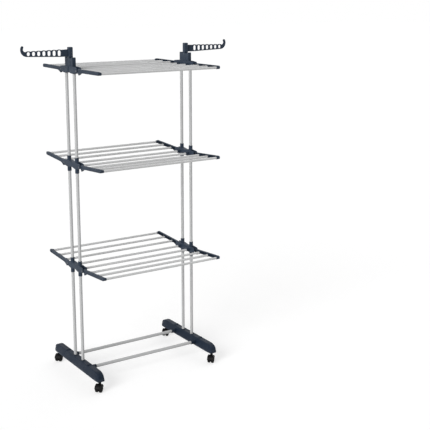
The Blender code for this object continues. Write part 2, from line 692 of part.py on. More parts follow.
def arm_mesh(hand):
    # A channel that opens inwards; hand is +1 where inwards is +Y and -1 where it is -Y
    outer_face = -hand * ARM_OUTER
    inner_face = hand * (ARM_DEPTH - ARM_OUTER)
    middle = (outer_face + inner_face) / 2
    cavity_shift = (ARM_WALL + OVERRUN) / 2 * hand
    socket_radius = ROD_RADIUS + CLEARANCE + ROD_SOCKET_WALL
    boss_radius = PIVOT_PIN_RADIUS + CLEARANCE + PIVOT_BOSS_WALL
    floor = outer_face + hand * ARM_WALL
    under_floor = outer_face + hand * ARM_WALL / 2
    body = prism([arm_outline(0)], ARM_DEPTH, SIDE_VIEW, (0, middle, 0))
    steps = [("DIFFERENCE", prism([arm_outline(ARM_WALL)], ARM_DEPTH - ARM_WALL + OVERRUN, SIDE_VIEW,
                                  (0, middle + cavity_shift, 0))),
             ("UNION", cylinder(boss_radius, (0, under_floor, 0),
                                (0, hand * (arm_inner - PIVOT_BOSS_STEP), 0), PIN_SIDES))]
    for reach in rod_reaches:
        steps.append(("UNION", cylinder(socket_radius, (reach, under_floor, 0),
                                        (reach, inner_face + hand * ARM_SOCKET_PROUD, 0), ROD_SIDES)))
    for reach in rod_reaches:
        steps.append(("DIFFERENCE", cylinder(bore_radius(ROD_RADIUS, ROD_SIDES), (reach, floor, 0),
                                             (reach, inner_face + hand * (ARM_SOCKET_PROUD + OVERRUN), 0),
                                             ROD_SIDES)))
    steps.append(("DIFFERENCE", cylinder(bore_radius(PIVOT_PIN_RADIUS, PIN_SIDES),
                                         (0, outer_face - hand * OVERRUN, 0),
                                         (0, hand * (arm_inner + OVERRUN), 0), PIN_SIDES)))
    hole_reach = FLARE_CORNER + 2 * FLARE_HOLE_RADIUS
    hole_rise = ARM_ROD_DROP - ARM_HEIGHT / 2 - FLARE_HOLE_RADIUS
    steps.append(("DIFFERENCE", cylinder(FLARE_HOLE_RADIUS,
                                         (hole_reach, outer_face - hand * OVERRUN, hole_rise),
                                         (hole_reach, floor + hand * OVERRUN, hole_rise), PIN_SIDES)))
    panel_floor = outer_face + hand * ARM_PANEL_DEPTH
    openings = (
        (ARM_PANEL_START, rod_reaches[-1] - ARM_PANEL_END, ARM_PANEL_HEIGHT, panel_floor),
        (ARM_NOTCH_START, ARM_NOTCH_START + ARM_NOTCH_LENGTH, ARM_NOTCH_HEIGHT, floor + hand * OVERRUN),
    )
    for start, end, height, depth in openings:
        near, far = sorted((outer_face - hand * OVERRUN, depth))
        steps.append(("DIFFERENCE", box((start, near, ARM_ROD_DROP - height / 2),
                                        (end, far, ARM_ROD_DROP + height / 2))))
    return combined(body, steps)


def add_wings():
    # Each wing hangs on an empty whose local Y is its hinge and whose local X points outwards
    arms = {-1: arm_mesh(1), 1: arm_mesh(-1)}
    rod_length = END_SPACING + 2 * (ARM_OUTER - ARM_WALL - CLEARANCE)
    rod = tube_mesh(ROD_RADIUS, ROD_WALL, rod_length, ROD_SIDES)
    rod.transform(SIDE_VIEW)
    for tier, height in TIER_HEIGHTS.items():
        tilt = TOP_WING_TILT if tier == "top" else WING_TILT
        for row, depth in (("front", -1), ("back", 1)):
            hinge = pivot(f"{tier}_{row}_hinge", (0, depth * PIVOT_OUT, height - PIVOT_DROP),
                          (0, -tilt, depth * math.pi / 2))
            for side in (-1, 1):
                end = "left" if side == depth else "right"
                place(f"{tier}_{row}_{end}_arm", arms[side], "plastic", hinge,
                      (0, side * END_SPACING / 2, 0))
            for reach, order in zip(rod_reaches, ("inner", "middle", "outer")):
                place(f"{tier}_{row}_{order}_rod", rod, "tube", hinge, (reach, 0, 0))


# Hanger arms


def hole_place(index):
    # Reach, middle height, half width and half height of a ring hole, above the tower
    share = index / (HANGER_HOLES - 1)
    reach = FIRST_HOLE_REACH + HOLE_PITCH * index
    height = FIRST_HOLE_HEIGHT + (LAST_HOLE_HEIGHT - FIRST_HOLE_HEIGHT) * share
    bottom = HANGER_BOTTOM + HANGER_RISE * share
    return reach, bottom + RING_WALL + height / 2, HOLE_WIDTH / 2, height / 2


def hanger_outline():
    hook_floor = HANGER_BOTTOM + HANGER_RISE
    hook_centre = (HANGER_REACH - HOOK_RADIUS, hook_floor + HOOK_RADIUS)
    points = [(0, HANGER_BOTTOM), (FIRST_HOLE_REACH, HANGER_BOTTOM)]
    outside = arc(hook_centre, HOOK_RADIUS, -90, HOOK_CURL, HOOK_STEPS)
    notch_centre = (hook_centre[0] + HOOK_NOTCH_SHIFT, hook_centre[1] + HOOK_NOTCH_RISE)
    inside = arc(notch_centre, HOOK_NOTCH_RADIUS, HOOK_NOTCH_CURL, -90, HOOK_NOTCH_STEPS)
    tip_across = (outside[-1][0] - inside[0][0]) / 2
    tip_up = (outside[-1][1] - inside[0][1]) / 2
    tip_centre = (inside[0][0] + tip_across, inside[0][1] + tip_up)
    tip_angle = math.degrees(math.atan2(tip_up, tip_across))
    tip = arc(tip_centre, math.hypot(tip_across, tip_up), tip_angle, tip_angle + 180, HOOK_TIP_STEPS)
    points += outside + tip[1:-1] + inside
    for index in reversed(range(HANGER_HOLES)):
        reach, middle, half_width, half_height = hole_place(index)
        crest = middle + half_height + RING_WALL
        points.append((reach + HOLE_PITCH / 4, crest - SCALLOP_DEPTH / 4))
        points.append((reach, crest))
        points.append((reach - HOLE_PITCH / 4, crest - SCALLOP_DEPTH / 4))
        points.append((reach - HOLE_PITCH / 2, crest - SCALLOP_DEPTH))
    points.append((0, hole_place(0)[1] + hole_place(0)[3] + RING_WALL))
    return points


def hanger_mesh():
    holes = []
    for index in range(HANGER_HOLES):
        reach, middle, half_width, half_height = hole_place(index)
        straight = half_height - half_width
        lower = arc((reach, middle - straight), half_width, 180, 360, HOLE_STEPS // 2)
        upper = arc((reach, middle + straight), half_width, 0, 180, HOLE_STEPS // 2)
        holes.append(lower + upper)
    plate = prism([hanger_outline()] + holes, HANGER_THICKNESS, SIDE_VIEW)
    plate.data.transform(Matrix.Rotation(math.pi, 4, "Z"))
    boss = box((-BOSS_DEPTH / 2, -BOSS_WIDTH / 2, CLEARANCE), (BOSS_DEPTH / 2, BOSS_WIDTH / 2, BOSS_HEIGHT))
    rounding = boss.modifiers.new("Bevel", "BEVEL")
    rounding.width = BOSS_ROUNDING
    rounding.segments = BOSS_ROUNDING_STEPS
    steps = [("UNION", plate),
             ("UNION", cylinder(STEM_RADIUS, (0, 0, -STEM_LENGTH), (0, 0, BOSS_HEIGHT / 2)))]
    return combined(boss, steps)


def add_hangers():
    mesh = hanger_mesh()
    for end, side in (("left", -1), ("right", 1)):
        turn = 0 if side < 0 else math.pi
        place(f"{end}_hanger_arm", mesh, "plastic", None,
              (side * (END_SPACING / 2 - bracket_middle), 0, tower_floor), (0, 0, turn))


# Casters


def hood_mesh():
    # A fender over both wheels, a web between them, and the neck, flange and stem it turns on
    pocket_radius = (WHEEL_RADIUS + HOOD_WHEEL_GAP) / math.cos(math.pi / WHEEL_SIDES)
    outer_radius = pocket_radius + HOOD_WALL
    half_width = WHEEL_GAP / 2 + WHEEL_WIDTH + HOOD_SIDE_MARGIN
    web = WHEEL_GAP / 2 - CLEARANCE
    dip = math.degrees(HOOD_DIP_ANGLE)
    outline = arc((-CASTER_TRAIL, axle_height), outer_radius, -dip, 180 + dip, HOOD_ARC_STEPS)
    flange_top = FOOT_BOTTOM - FLANGE_DROP
    flange_bottom = flange_top - FLANGE_THICKNESS
    stem_floor = axle_height + math.sqrt(pocket_radius ** 2 - (CASTER_TRAIL - NECK_RADIUS) ** 2)
    body = prism([outline], 2 * half_width, END_VIEW)
    steps = [("UNION", cylinder(NECK_RADIUS, (0, 0, stem_floor), (0, 0, flange_bottom), ROD_SIDES)),
             ("UNION", cylinder(CASTER_STEM_RADIUS, (0, 0, stem_floor), (0, 0, CASTER_STEM_TOP - CLEARANCE),
                                ROD_SIDES)),
             ("UNION", cylinder(FLANGE_RADIUS, (0, 0, flange_bottom - OVERRUN / 2), (0, 0, flange_top),
                                ROD_SIDES))]
    for side in (-1, 1):
        steps.append(("DIFFERENCE", cylinder(pocket_radius, (side * web, -CASTER_TRAIL, axle_height),
                                             (side * (half_width + OVERRUN), -CASTER_TRAIL, axle_height),
                                             WHEEL_SIDES)))
        near, far = sorted((side * web, side * (half_width + OVERRUN)))
        steps.append(("DIFFERENCE", box((near, -CASTER_TRAIL - outer_radius - OVERRUN, -OVERRUN),
                                        (far, outer_radius, axle_height + HOOD_EDGE_RISE))))
    steps.append(("DIFFERENCE", cylinder(bore_radius(AXLE_RADIUS, PIN_SIDES),
                                         (-half_width, -CASTER_TRAIL, axle_height),
                                         (half_width, -CASTER_TRAIL, axle_height), PIN_SIDES)))
    return combined(body, steps)


def wheelset_mesh():
    # Two wheels with hollowed hubs on one axle
    inside = WHEEL_GAP / 2
    outside = inside + WHEEL_WIDTH
    half = [(0, outside - HUB_RECESS), (HUB_RADIUS, outside - HUB_RECESS), (HUB_RADIUS, outside),
            (WHEEL_RADIUS - WHEEL_ROUNDING, outside), (WHEEL_RADIUS, outside - WHEEL_ROUNDING),
            (WHEEL_RADIUS, inside), (AXLE_RADIUS, inside)]
    profile = half + [(radius, -height) for radius, height in reversed(half)]
    mesh = finished_mesh(turned(profile, WHEEL_SIDES))
    mesh.transform(ALONG_X @ Matrix.Rotation(math.pi / WHEEL_SIDES, 4, "Z"))
    return mesh


def add_casters():
    hood = hood_mesh()
    wheels = wheelset_mesh()
    for end, side in (("left", -1), ("right", 1)):
        for row, depth in (("front", -1), ("back", 1)):
            swivel = pivot(f"{row}_{end}_swivel",
                           (side * foot_out, depth * caster_out, 0), (0, 0, CASTER_REST_TURN))
            place(f"{row}_{end}_caster_hood", hood, "caster", swivel)
            place(f"{row}_{end}_wheels", wheels, "caster", swivel, (0, -CASTER_TRAIL, axle_height))


start_scene()
add_feet()
add_posts()
add_stretchers()
add_centre_rods()
add_brackets()
add_wings()
add_hangers()
add_casters()
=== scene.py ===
import json
import math

import bmesh
import bpy
from mathutils import Matrix, Vector

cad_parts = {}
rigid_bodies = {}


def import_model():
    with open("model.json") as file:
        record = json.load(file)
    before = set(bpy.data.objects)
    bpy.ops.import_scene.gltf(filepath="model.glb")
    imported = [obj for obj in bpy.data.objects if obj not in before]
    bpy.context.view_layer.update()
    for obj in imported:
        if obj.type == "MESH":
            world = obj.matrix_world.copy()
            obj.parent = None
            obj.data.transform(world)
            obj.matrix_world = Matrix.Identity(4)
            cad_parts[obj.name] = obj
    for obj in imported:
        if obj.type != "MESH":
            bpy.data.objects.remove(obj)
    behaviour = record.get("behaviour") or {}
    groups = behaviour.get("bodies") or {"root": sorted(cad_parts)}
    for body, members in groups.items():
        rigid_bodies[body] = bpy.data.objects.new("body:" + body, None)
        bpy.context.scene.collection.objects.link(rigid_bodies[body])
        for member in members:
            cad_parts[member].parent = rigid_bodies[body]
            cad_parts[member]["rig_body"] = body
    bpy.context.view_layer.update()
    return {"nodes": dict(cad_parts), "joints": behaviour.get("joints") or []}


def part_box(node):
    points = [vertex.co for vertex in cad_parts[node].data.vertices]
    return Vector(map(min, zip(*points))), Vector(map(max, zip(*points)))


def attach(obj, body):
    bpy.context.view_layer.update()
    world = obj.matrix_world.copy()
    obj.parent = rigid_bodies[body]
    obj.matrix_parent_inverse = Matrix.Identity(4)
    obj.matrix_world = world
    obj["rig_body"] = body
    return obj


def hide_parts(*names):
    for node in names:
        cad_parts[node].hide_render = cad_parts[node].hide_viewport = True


for oldObject in list(bpy.data.objects):
    bpy.data.objects.remove(oldObject, do_unlink=True)

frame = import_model()
nodes = frame["nodes"]
joints = {joint["child"]: joint for joint in frame["joints"]}
print("airer frame loaded:", len(nodes), "solids")

# where the pieces sit, read from the solids and the joints
tiers = ("lower", "middle", "top")
rows = {"front": -1, "back": 1}
ends = {"left": -1, "right": 1}
pivotDrop = 0.002  # of the wing pivots below the middle of their bracket
postPlace = (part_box("front_right_post")[0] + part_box("front_right_post")[1]) / 2
endOut = postPlace.x
postOut = -postPlace.y
hinges = {(tier, row): Vector(joints[f"{tier}_{row}_wing"]["pos_m"])
          for tier in tiers for row in rows}
tierHeights = {tier: hinges[tier, "front"].z + pivotDrop for tier in tiers}


# finishes

def newFinish(name):
    finish = bpy.data.materials.new(name)
    finish.use_nodes = True
    tree = finish.node_tree
    return finish, tree, tree.nodes["Principled BSDF"]


def pieceNoise(tree, scale, detail=3.0, stretch=(1, 1, 1)):
    # noise that stays with the piece when it moves
    place = tree.nodes.new("ShaderNodeTexCoord")
    mapping = tree.nodes.new("ShaderNodeMapping")
    mapping.inputs["Scale"].default_value = stretch
    noise = tree.nodes.new("ShaderNodeTexNoise")
    noise.inputs["Scale"].default_value = scale
    noise.inputs["Detail"].default_value = detail
    tree.links.new(place.outputs["Object"], mapping.inputs["Vector"])
    tree.links.new(mapping.outputs["Vector"], noise.inputs["Vector"])
    return noise.outputs["Fac"]


def spread(tree, source, low, high, start=0.3, end=0.7):
    # the source between start and end, spread from low to high
    mapRange = tree.nodes.new("ShaderNodeMapRange")
    mapRange.inputs["From Min"].default_value = start
    mapRange.inputs["From Max"].default_value = end
    mapRange.inputs["To Min"].default_value = low
    mapRange.inputs["To Max"].default_value = high
    tree.links.new(source, mapRange.inputs["Value"])
    return mapRange.outputs["Result"]


def tint(tree, factor, first, second):
    # first and second are colours or sockets, mixed by the factor
    mixer = tree.nodes.new("ShaderNodeMix")
    mixer.data_type = "RGBA"
    tree.links.new(factor, mixer.inputs[0])
    for socket, value in ((mixer.inputs[6], first), (mixer.inputs[7], second)):  # colour sockets
        if isinstance(value, bpy.types.NodeSocket):
            tree.links.new(value, socket)
        else:
            socket.default_value = value
    return mixer.outputs[2]


def shade(colour, factor):
    return tuple(channel * factor for channel in colour[:3]) + (1.0,)


def variedColour(tree, source, look):
    return tint(tree, spread(tree, source, 0, 1), shade(look["colour"], 1 - look["variation"]),
                shade(look["colour"], 1 + look["variation"]))


def addRoughness(tree, shader, source, low, high):
    tree.links.new(spread(tree, source, low, high), shader.inputs["Roughness"])


def addBump(tree, shader, source, strength, depth):
    bump = tree.nodes.new("ShaderNodeBump")
    bump.inputs["Strength"].default_value = strength
    bump.inputs["Distance"].default_value = depth
    tree.links.new(source, bump.inputs["Height"])
    tree.links.new(bump.outputs["Normal"], shader.inputs["Normal"])


# what all the moulded plastics share
moulding = {
    "flowDetail": 4.0, "flowStretch": (1, 0.5, 0.7), "edgeStart": 0.51, "edgeEnd": 0.62,
    "patchDetail": 5.0, "patchStart": 0.4, "patchEnd": 0.65, "rubDetail": 5.0, "grainDetail": 2.0,
}


def mouldedPlastic(name, look):
    # satin moulded plastic: faint flow marks, spark-eroded grain, paler scuffs on the outer edges
    finish, tree, shader = newFinish(name)
    flow = pieceNoise(tree, look["flowScale"], moulding["flowDetail"], moulding["flowStretch"])
    body = variedColour(tree, flow, look)
    geometry = tree.nodes.new("ShaderNodeNewGeometry")
    edge = spread(tree, geometry.outputs["Pointiness"], 0, look["scuff"],
                  moulding["edgeStart"], moulding["edgeEnd"])
    patches = pieceNoise(tree, look["scuffScale"], moulding["patchDetail"])
    worn = tree.nodes.new("ShaderNodeMath")
    worn.operation = "MULTIPLY"
    tree.links.new(edge, worn.inputs[0])
    tree.links.new(spread(tree, patches, 0, 1, moulding["patchStart"], moulding["patchEnd"]),
                   worn.inputs[1])
    tree.links.new(tint(tree, worn.outputs[0], body, look["scuffColour"]),
                   shader.inputs["Base Color"])
    rub = pieceNoise(tree, look["rubScale"], moulding["rubDetail"])
    addRoughness(tree, shader, rub, look["roughness"] - look["roughnessSpread"],
                 look["roughness"] + look["roughnessSpread"])
    addBump(tree, shader, pieceNoise(tree, look["grainScale"], moulding["grainDetail"]),
            look["grainStrength"], look["grainDepth"])
    shader.inputs["Specular IOR Level"].default_value = look["specular"]
    return finish


slatePlasticLook = {
    "colour": (0.022, 0.033, 0.052, 1.0), "variation": 0.10, "flowScale": 9.0,
    "roughness": 0.50, "roughnessSpread": 0.07, "rubScale": 26.0,
    "scuff": 0.30, "scuffScale": 60.0, "scuffColour": (0.10, 0.12, 0.15, 1.0),
    "grainScale": 1500.0, "grainStrength": 0.3, "grainDepth": 0.0003, "specular": 0.15,
}
casterPlasticLook = {
    "colour": (0.0045, 0.0045, 0.005, 1.0), "variation": 0.15, "flowScale": 40.0,
    "roughness": 0.46, "roughnessSpread": 0.07, "rubScale": 60.0,
    "scuff": 0.3, "scuffScale": 120.0, "scuffColour": (0.025, 0.025, 0.025, 1.0),
    "grainScale": 1800.0, "grainStrength": 0.25, "grainDepth": 0.0002, "specular": 0.07,
}
wheelPlasticLook = {
    "colour": (0.006, 0.006, 0.006, 1.0), "variation": 0.25, "flowScale": 70.0,
    "roughness": 0.58, "roughnessSpread": 0.10, "rubScale": 90.0,
    "scuff": 0.4, "scuffScale": 160.0, "scuffColour": (0.03, 0.029, 0.027, 1.0),
    "grainScale": 1400.0, "grainStrength": 0.4, "grainDepth": 0.0003, "specular": 0.06,
}
# painted shade: the foot beams get a darker copy of the slate plastic, standing in for the dimmer
# light low down
footPlasticPaintedShadeLook = {**slatePlasticLook, "colour": (0.009, 0.016, 0.029, 1.0), "specular": 0.10}
slatePlastic = mouldedPlastic("slatePlastic", slatePlasticLook)
footPlastic = mouldedPlastic("footPlastic", footPlasticPaintedShadeLook)
casterPlastic = mouldedPlastic("casterPlastic", casterPlasticLook)
wheelPlastic = mouldedPlastic("wheelPlastic", wheelPlasticLook)

tubePaintLook = {
    "colour": (0.43, 0.433, 0.436, 1.0), "variation": 0.035, "cloudScale": 11.0, "cloudDetail": 4.0,
    "roughness": 0.40, "roughnessSpread": 0.06, "rubScale": 66.0, "rubDetail": 4.0,
    "peelScale": 420.0, "peelDetail": 1.0, "peelStrength": 0.25, "peelDepth": 0.0002,
    "coat": 0.1, "coatRoughness": 0.25,
}
# painted light: the rods take a lighter copy of the same tube paint, standing in for the light that
# falls on them
rodPaintWithPaintedLightLook = {**tubePaintLook, "colour": (0.53, 0.533, 0.535, 1.0)}


def paintedTube(name, look):
    # powder paint on steel: a cloudy tone and a little orange peel
    finish, tree, shader = newFinish(name)
    cloud = pieceNoise(tree, look["cloudScale"], look["cloudDetail"])
    tree.links.new(variedColour(tree, cloud, look), shader.inputs["Base Color"])
    rub = pieceNoise(tree, look["rubScale"], look["rubDetail"])
    addRoughness(tree, shader, rub, look["roughness"] - look["roughnessSpread"],
                 look["roughness"] + look["roughnessSpread"])
    addBump(tree, shader, pieceNoise(tree, look["peelScale"], look["peelDetail"]),
            look["peelStrength"], look["peelDepth"])
    shader.inputs["Coat Weight"].default_value = look["coat"]
    shader.inputs["Coat Roughness"].default_value = look["coatRoughness"]
    return finish


tubePaint = paintedTube("tubePaint", tubePaintLook)
rodPaint = paintedTube("rodPaint", rodPaintWithPaintedLightLook)

rivetSteelLook = {
    "colour": (0.10, 0.105, 0.115, 1.0), "darkest": 0.8, "brightest": 1.1, "metallic": 0.7,
    "roughness": 0.36, "smoother": 0.08, "rougher": 0.1,
    "brushScale": 900.0, "brushDetail": 2.0, "brushStretch": (1, 0.1, 0.1),
}


def blackenedSteel(name, look):
    # dark steel with fine brush marks
    finish, tree, shader = newFinish(name)
    brush = pieceNoise(tree, look["brushScale"], look["brushDetail"], look["brushStretch"])
    tree.links.new(tint(tree, brush, shade(look["colour"], look["darkest"]),
                        shade(look["colour"], look["brightest"])), shader.inputs["Base Color"])
    addRoughness(tree, shader, brush, look["roughness"] - look["smoother"],
                 look["roughness"] + look["rougher"])
    shader.inputs["Metallic"].default_value = look["metallic"]
    return finish


rivetSteel = blackenedSteel("rivetSteel", rivetSteelLook)
print("finishes ready")


# shaping tools

sideView = Matrix.Rotation(math.radians(90), 4, "X")  # outlines in x and z
endView = Matrix(((0, 0, 1, 0), (1, 0, 0, 0), (0, 1, 0, 0), (0, 0, 0, 1)))  # outlines in y and z
turnAlongX = Matrix.Rotation(math.radians(90), 4, "Y")
fit = {
    "gap": 0.0003, "overrun": 0.002, "weld": 0.00001, "sharpAngle": 32.0,
    "sides": 40, "edgeSteps": 3, "edgeProfile": 0.5, "plateEdgeSteps": 2,
}


def looseObject(name, data):
    obj = bpy.data.objects.new(name, data)
    bpy.context.scene.collection.objects.link(obj)
    return obj


def appliedMesh(obj):
    # the mesh with its modifiers applied; the object goes
    bpy.context.view_layer.update()
    mesh = bpy.data.meshes.new_from_object(obj.evaluated_get(bpy.context.evaluated_depsgraph_get()))
    bpy.data.objects.remove(obj)
    return mesh


def cageObject(name, cage):
    mesh = bpy.data.meshes.new(name)
    cage.to_mesh(mesh)
    cage.free()
    return looseObject(name, mesh)


def plate(outlines, thickness, view, shift=(0, 0, 0), rounding=0.0):
    # flat plate with rounded edges; the first outline is its edge and the others are holes
    curve = bpy.data.curves.new("plate", "CURVE")
    curve.dimensions = "2D"
    curve.fill_mode = "BOTH"
    curve.extrude = thickness / 2 - rounding
    curve.bevel_depth = rounding
    curve.bevel_resolution = fit["plateEdgeSteps"]
    curve.offset = -rounding
    for outline in outlines:
        spline = curve.splines.new("POLY")
        spline.points.add(len(outline) - 1)
        for point, (across, up) in zip(spline.points, outline):
            point.co = (across, up, 0, 1)
        spline.use_cyclic_u = True
    mesh = appliedMesh(looseObject("plate", curve))
    cage = bmesh.new()
    cage.from_mesh(mesh)
    bmesh.ops.remove_doubles(cage, verts=cage.verts, dist=fit["weld"])
    cage.transform(Matrix.Translation(shift) @ view)
    return cageObject("plate", cage)


def roundEdges(cage, edges, rounding):
    bmesh.ops.bevel(cage, geom=edges, offset=rounding, segments=fit["edgeSteps"],
                    profile=fit["edgeProfile"], affect="EDGES")


def roundBar(radius, start, end, rounding=0.0, sides=fit["sides"]):
    # from start to end, with its rims rounded
    along = Vector(end) - Vector(start)
    cage = bmesh.new()
    bmesh.ops.create_cone(cage, cap_ends=True, segments=sides, radius1=radius, radius2=radius,
                          depth=along.length)
    if rounding:
        rims = [edge for edge in cage.edges
                if abs(edge.verts[0].co.z - edge.verts[1].co.z) < fit["weld"]]
        roundEdges(cage, rims, rounding)
    turn = along.to_track_quat("Z", "Y").to_matrix().to_4x4()
    cage.transform(Matrix.Translation((Vector(start) + Vector(end)) / 2) @ turn)
    return cageObject("roundBar", cage)


def block(low, high, rounding=0.0):
    size = Vector(high) - Vector(low)
    middle = (Vector(high) + Vector(low)) / 2
    place = Matrix.Translation(middle) @ Matrix.Diagonal((*size, 1))
    cage = bmesh.new()
    bmesh.ops.create_cube(cage, size=1, matrix=place)
    if rounding:
        roundEdges(cage, cage.edges[:], rounding)
    return cageObject("block", cage)


def turned(profile, sides=fit["sides"]):
    # profile of radius and height, from the axis round to the axis, turned about z
    mesh = bpy.data.meshes.new("turned")
    points = [(radius, 0, height) for radius, height in profile]
    mesh.from_pydata(points, [(index, index + 1) for index in range(len(points) - 1)], [])
    obj = looseObject("turned", mesh)
    screw = obj.modifiers.new("Screw", "SCREW")
    screw.steps = sides
    screw.render_steps = sides
    screw.use_merge_vertices = True
    screw.merge_threshold = fit["weld"]
    return appliedMesh(obj)


def joined(body, adds=(), cuts=()):
    # the body with pieces joined on and then others cut away; all the objects go
    for operation, pieces in (("UNION", adds), ("DIFFERENCE", cuts)):
        for piece in pieces:
            modifier = body.modifiers.new(operation, "BOOLEAN")
            modifier.operation = operation
            modifier.solver = "MANIFOLD"
            modifier.object = piece
    mesh = appliedMesh(body)
    for piece in (*adds, *cuts):
        bpy.data.objects.remove(piece)
    return mesh


def arc(centre, radius, startAngle, endAngle, steps):
    points = []
    for step in range(steps + 1):
        angle = math.radians(startAngle + (endAngle - startAngle) * step / steps)
        points.append((centre[0] + radius * math.cos(angle), centre[1] + radius * math.sin(angle)))
    return points


def mirrored(half):
    # an outline from its right half, followed by its mirror image
    return half + [(-across, up) for across, up in reversed(half) if across > 0]


def putPiece(name, mesh, matrix, finish, body, node=None):
    # a copy of the mesh in its place, riding on its body
    own = mesh.copy()
    own.transform(matrix)
    own.materials.clear()
    own.materials.append(finish)
    own.shade_smooth()
    own.set_sharp_from_angle(angle=math.radians(fit["sharpAngle"]))
    piece = looseObject(name, own)
    evenNormals = piece.modifiers.new("EvenNormals", "WEIGHTED_NORMAL")
    evenNormals.keep_sharp = True
    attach(piece, body)
    if node:
        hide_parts(node)


def endTurn(side):
    # pieces are made for the left end and turned round for the right one
    return Matrix.Rotation(0 if side < 0 else math.pi, 4, "Z")


# frame tubes and rods, round and hollow

tube = {
    "postRadius": 0.008, "stretcherRadius": 0.0085, "postWall": 0.0008,
    "rodRadius": 0.006, "rodWall": 0.0006, "endRounding": 0.0002,
}
acrossAxis, upAxis = 0, 2


def tubeMesh(radius, wall, length):
    rim = tube["endRounding"]
    half = length / 2
    profile = [(radius - wall, half), (radius - rim, half), (radius, half - rim),
               (radius, rim - half), (radius - rim, -half), (radius - wall, -half),
               (radius - wall, half)]
    mesh = turned(profile)
    cage = bmesh.new()
    cage.from_mesh(mesh)
    bmesh.ops.remove_doubles(cage, verts=cage.verts, dist=fit["weld"])
    bmesh.ops.recalc_face_normals(cage, faces=cage.faces)
    cage.to_mesh(mesh)
    cage.free()
    return mesh


def addTube(node, axis, radius, wall, finish):
    low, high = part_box(node)
    mesh = tubeMesh(radius, wall, high[axis] - low[axis])
    turn = turnAlongX if axis == acrossAxis else Matrix.Identity(4)
    place = Matrix.Translation((low + high) / 2) @ turn
    words = node.split("_")
    name = words[0] + "".join(word.title() for word in words[1:]) + "Tube"
    putPiece(name, mesh, place, finish, nodes[node]["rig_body"], node)


for node in list(nodes):
    if node.endswith("_post"):
        addTube(node, upAxis, tube["postRadius"], tube["postWall"], tubePaint)
    elif node.endswith("_stretcher"):
        addTube(node, acrossAxis, tube["stretcherRadius"], tube["postWall"], tubePaint)
    elif node.endswith("_rod"):
        addTube(node, acrossAxis, tube["rodRadius"], tube["rodWall"], rodPaint)
print("tubes and rods made")


# foot beams: one thin moulded shell with sockets, ribs and slots

foot = {
    "length": 0.518, "width": 0.043, "bottom": 0.056, "top": 0.101, "wall": 0.0025,
    "corner": 0.0035, "cornerSteps": 5, "draft": 0.0055, "skirt": 0.012,
    "domeLength": 0.048, "domeSteps": 12, "endWidth": 0.033, "endTop": 0.079,
    "postShift": 0.0035, "collarRadius": 0.0103, "collarSink": 0.0016, "socketFloor": 0.064,
    "stretcherHeight": 0.076, "socketRadius": 0.0108, "socketEnd": 0.0475,
    "socketRounding": 0.0008, "windowLength": 0.006, "windowWidth": 0.013, "windowWall": 0.0012,
    "bumpInset": 0.135, "bumpLength": 0.018, "bumpHeight": 0.004, "bumpWidth": 0.022,
    "bumpRounding": 0.0012, "bumpSinkShare": 0.9,
    "ribInsets": (0.112, 0.175, 0.229), "ribThickness": 0.002,
    "casterInset": 0.020, "stemSocketRadius": 0.0075, "stemRadius": 0.0043, "stemTop": 0.086,
}


def footSection(fullness):
    # the beam's cross-section, from one lower edge over the top to the other
    halfWidth = (foot["endWidth"] + (foot["width"] - foot["endWidth"]) * fullness) / 2
    top = foot["endTop"] + (foot["top"] - foot["endTop"]) * fullness
    heightShare = (top - foot["bottom"]) / (foot["top"] - foot["bottom"])
    shoulder = (halfWidth - foot["draft"] * heightShare - foot["corner"], top - foot["corner"])
    half = [(halfWidth, foot["bottom"]), (halfWidth, foot["bottom"] + foot["skirt"] * heightShare)]
    half += arc(shoulder, foot["corner"], 0, 90, foot["cornerSteps"])
    return mirrored(half)


def roofHeight(along):
    share = max(0, (along - foot["length"] / 2 + foot["domeLength"]) / foot["domeLength"])
    return foot["endTop"] + (foot["top"] - foot["endTop"]) * math.sqrt(1 - share * share)


def footShell():
    # rings of the section from end to end, closed at the ends and open underneath
    steps = foot["domeSteps"]
    angles = [math.radians(90 * step / steps) for step in range(steps + 1)]
    stations = [(-1, angle) for angle in reversed(angles)] + [(1, angle) for angle in angles]
    cage = bmesh.new()
    rings = []
    for side, angle in stations:
        along = side * (foot["length"] / 2 - foot["domeLength"] * (1 - math.sin(angle)))
        section = footSection(math.cos(angle))
        rings.append([cage.verts.new((across, along, up)) for across, up in section])
    for ring, following in zip(rings, rings[1:]):
        for index in range(len(ring) - 1):
            cage.faces.new((ring[index], following[index], following[index + 1], ring[index + 1]))
    cage.faces.new(rings[0])
    cage.faces.new(tuple(reversed(rings[-1])))
    shell = cageObject("footShell", cage)
    solidify = shell.modifiers.new("Shell", "SOLIDIFY")
    solidify.thickness = foot["wall"]
    solidify.offset = -1
    solidify.use_even_offset = True
    return looseObject("footShell", appliedMesh(shell))


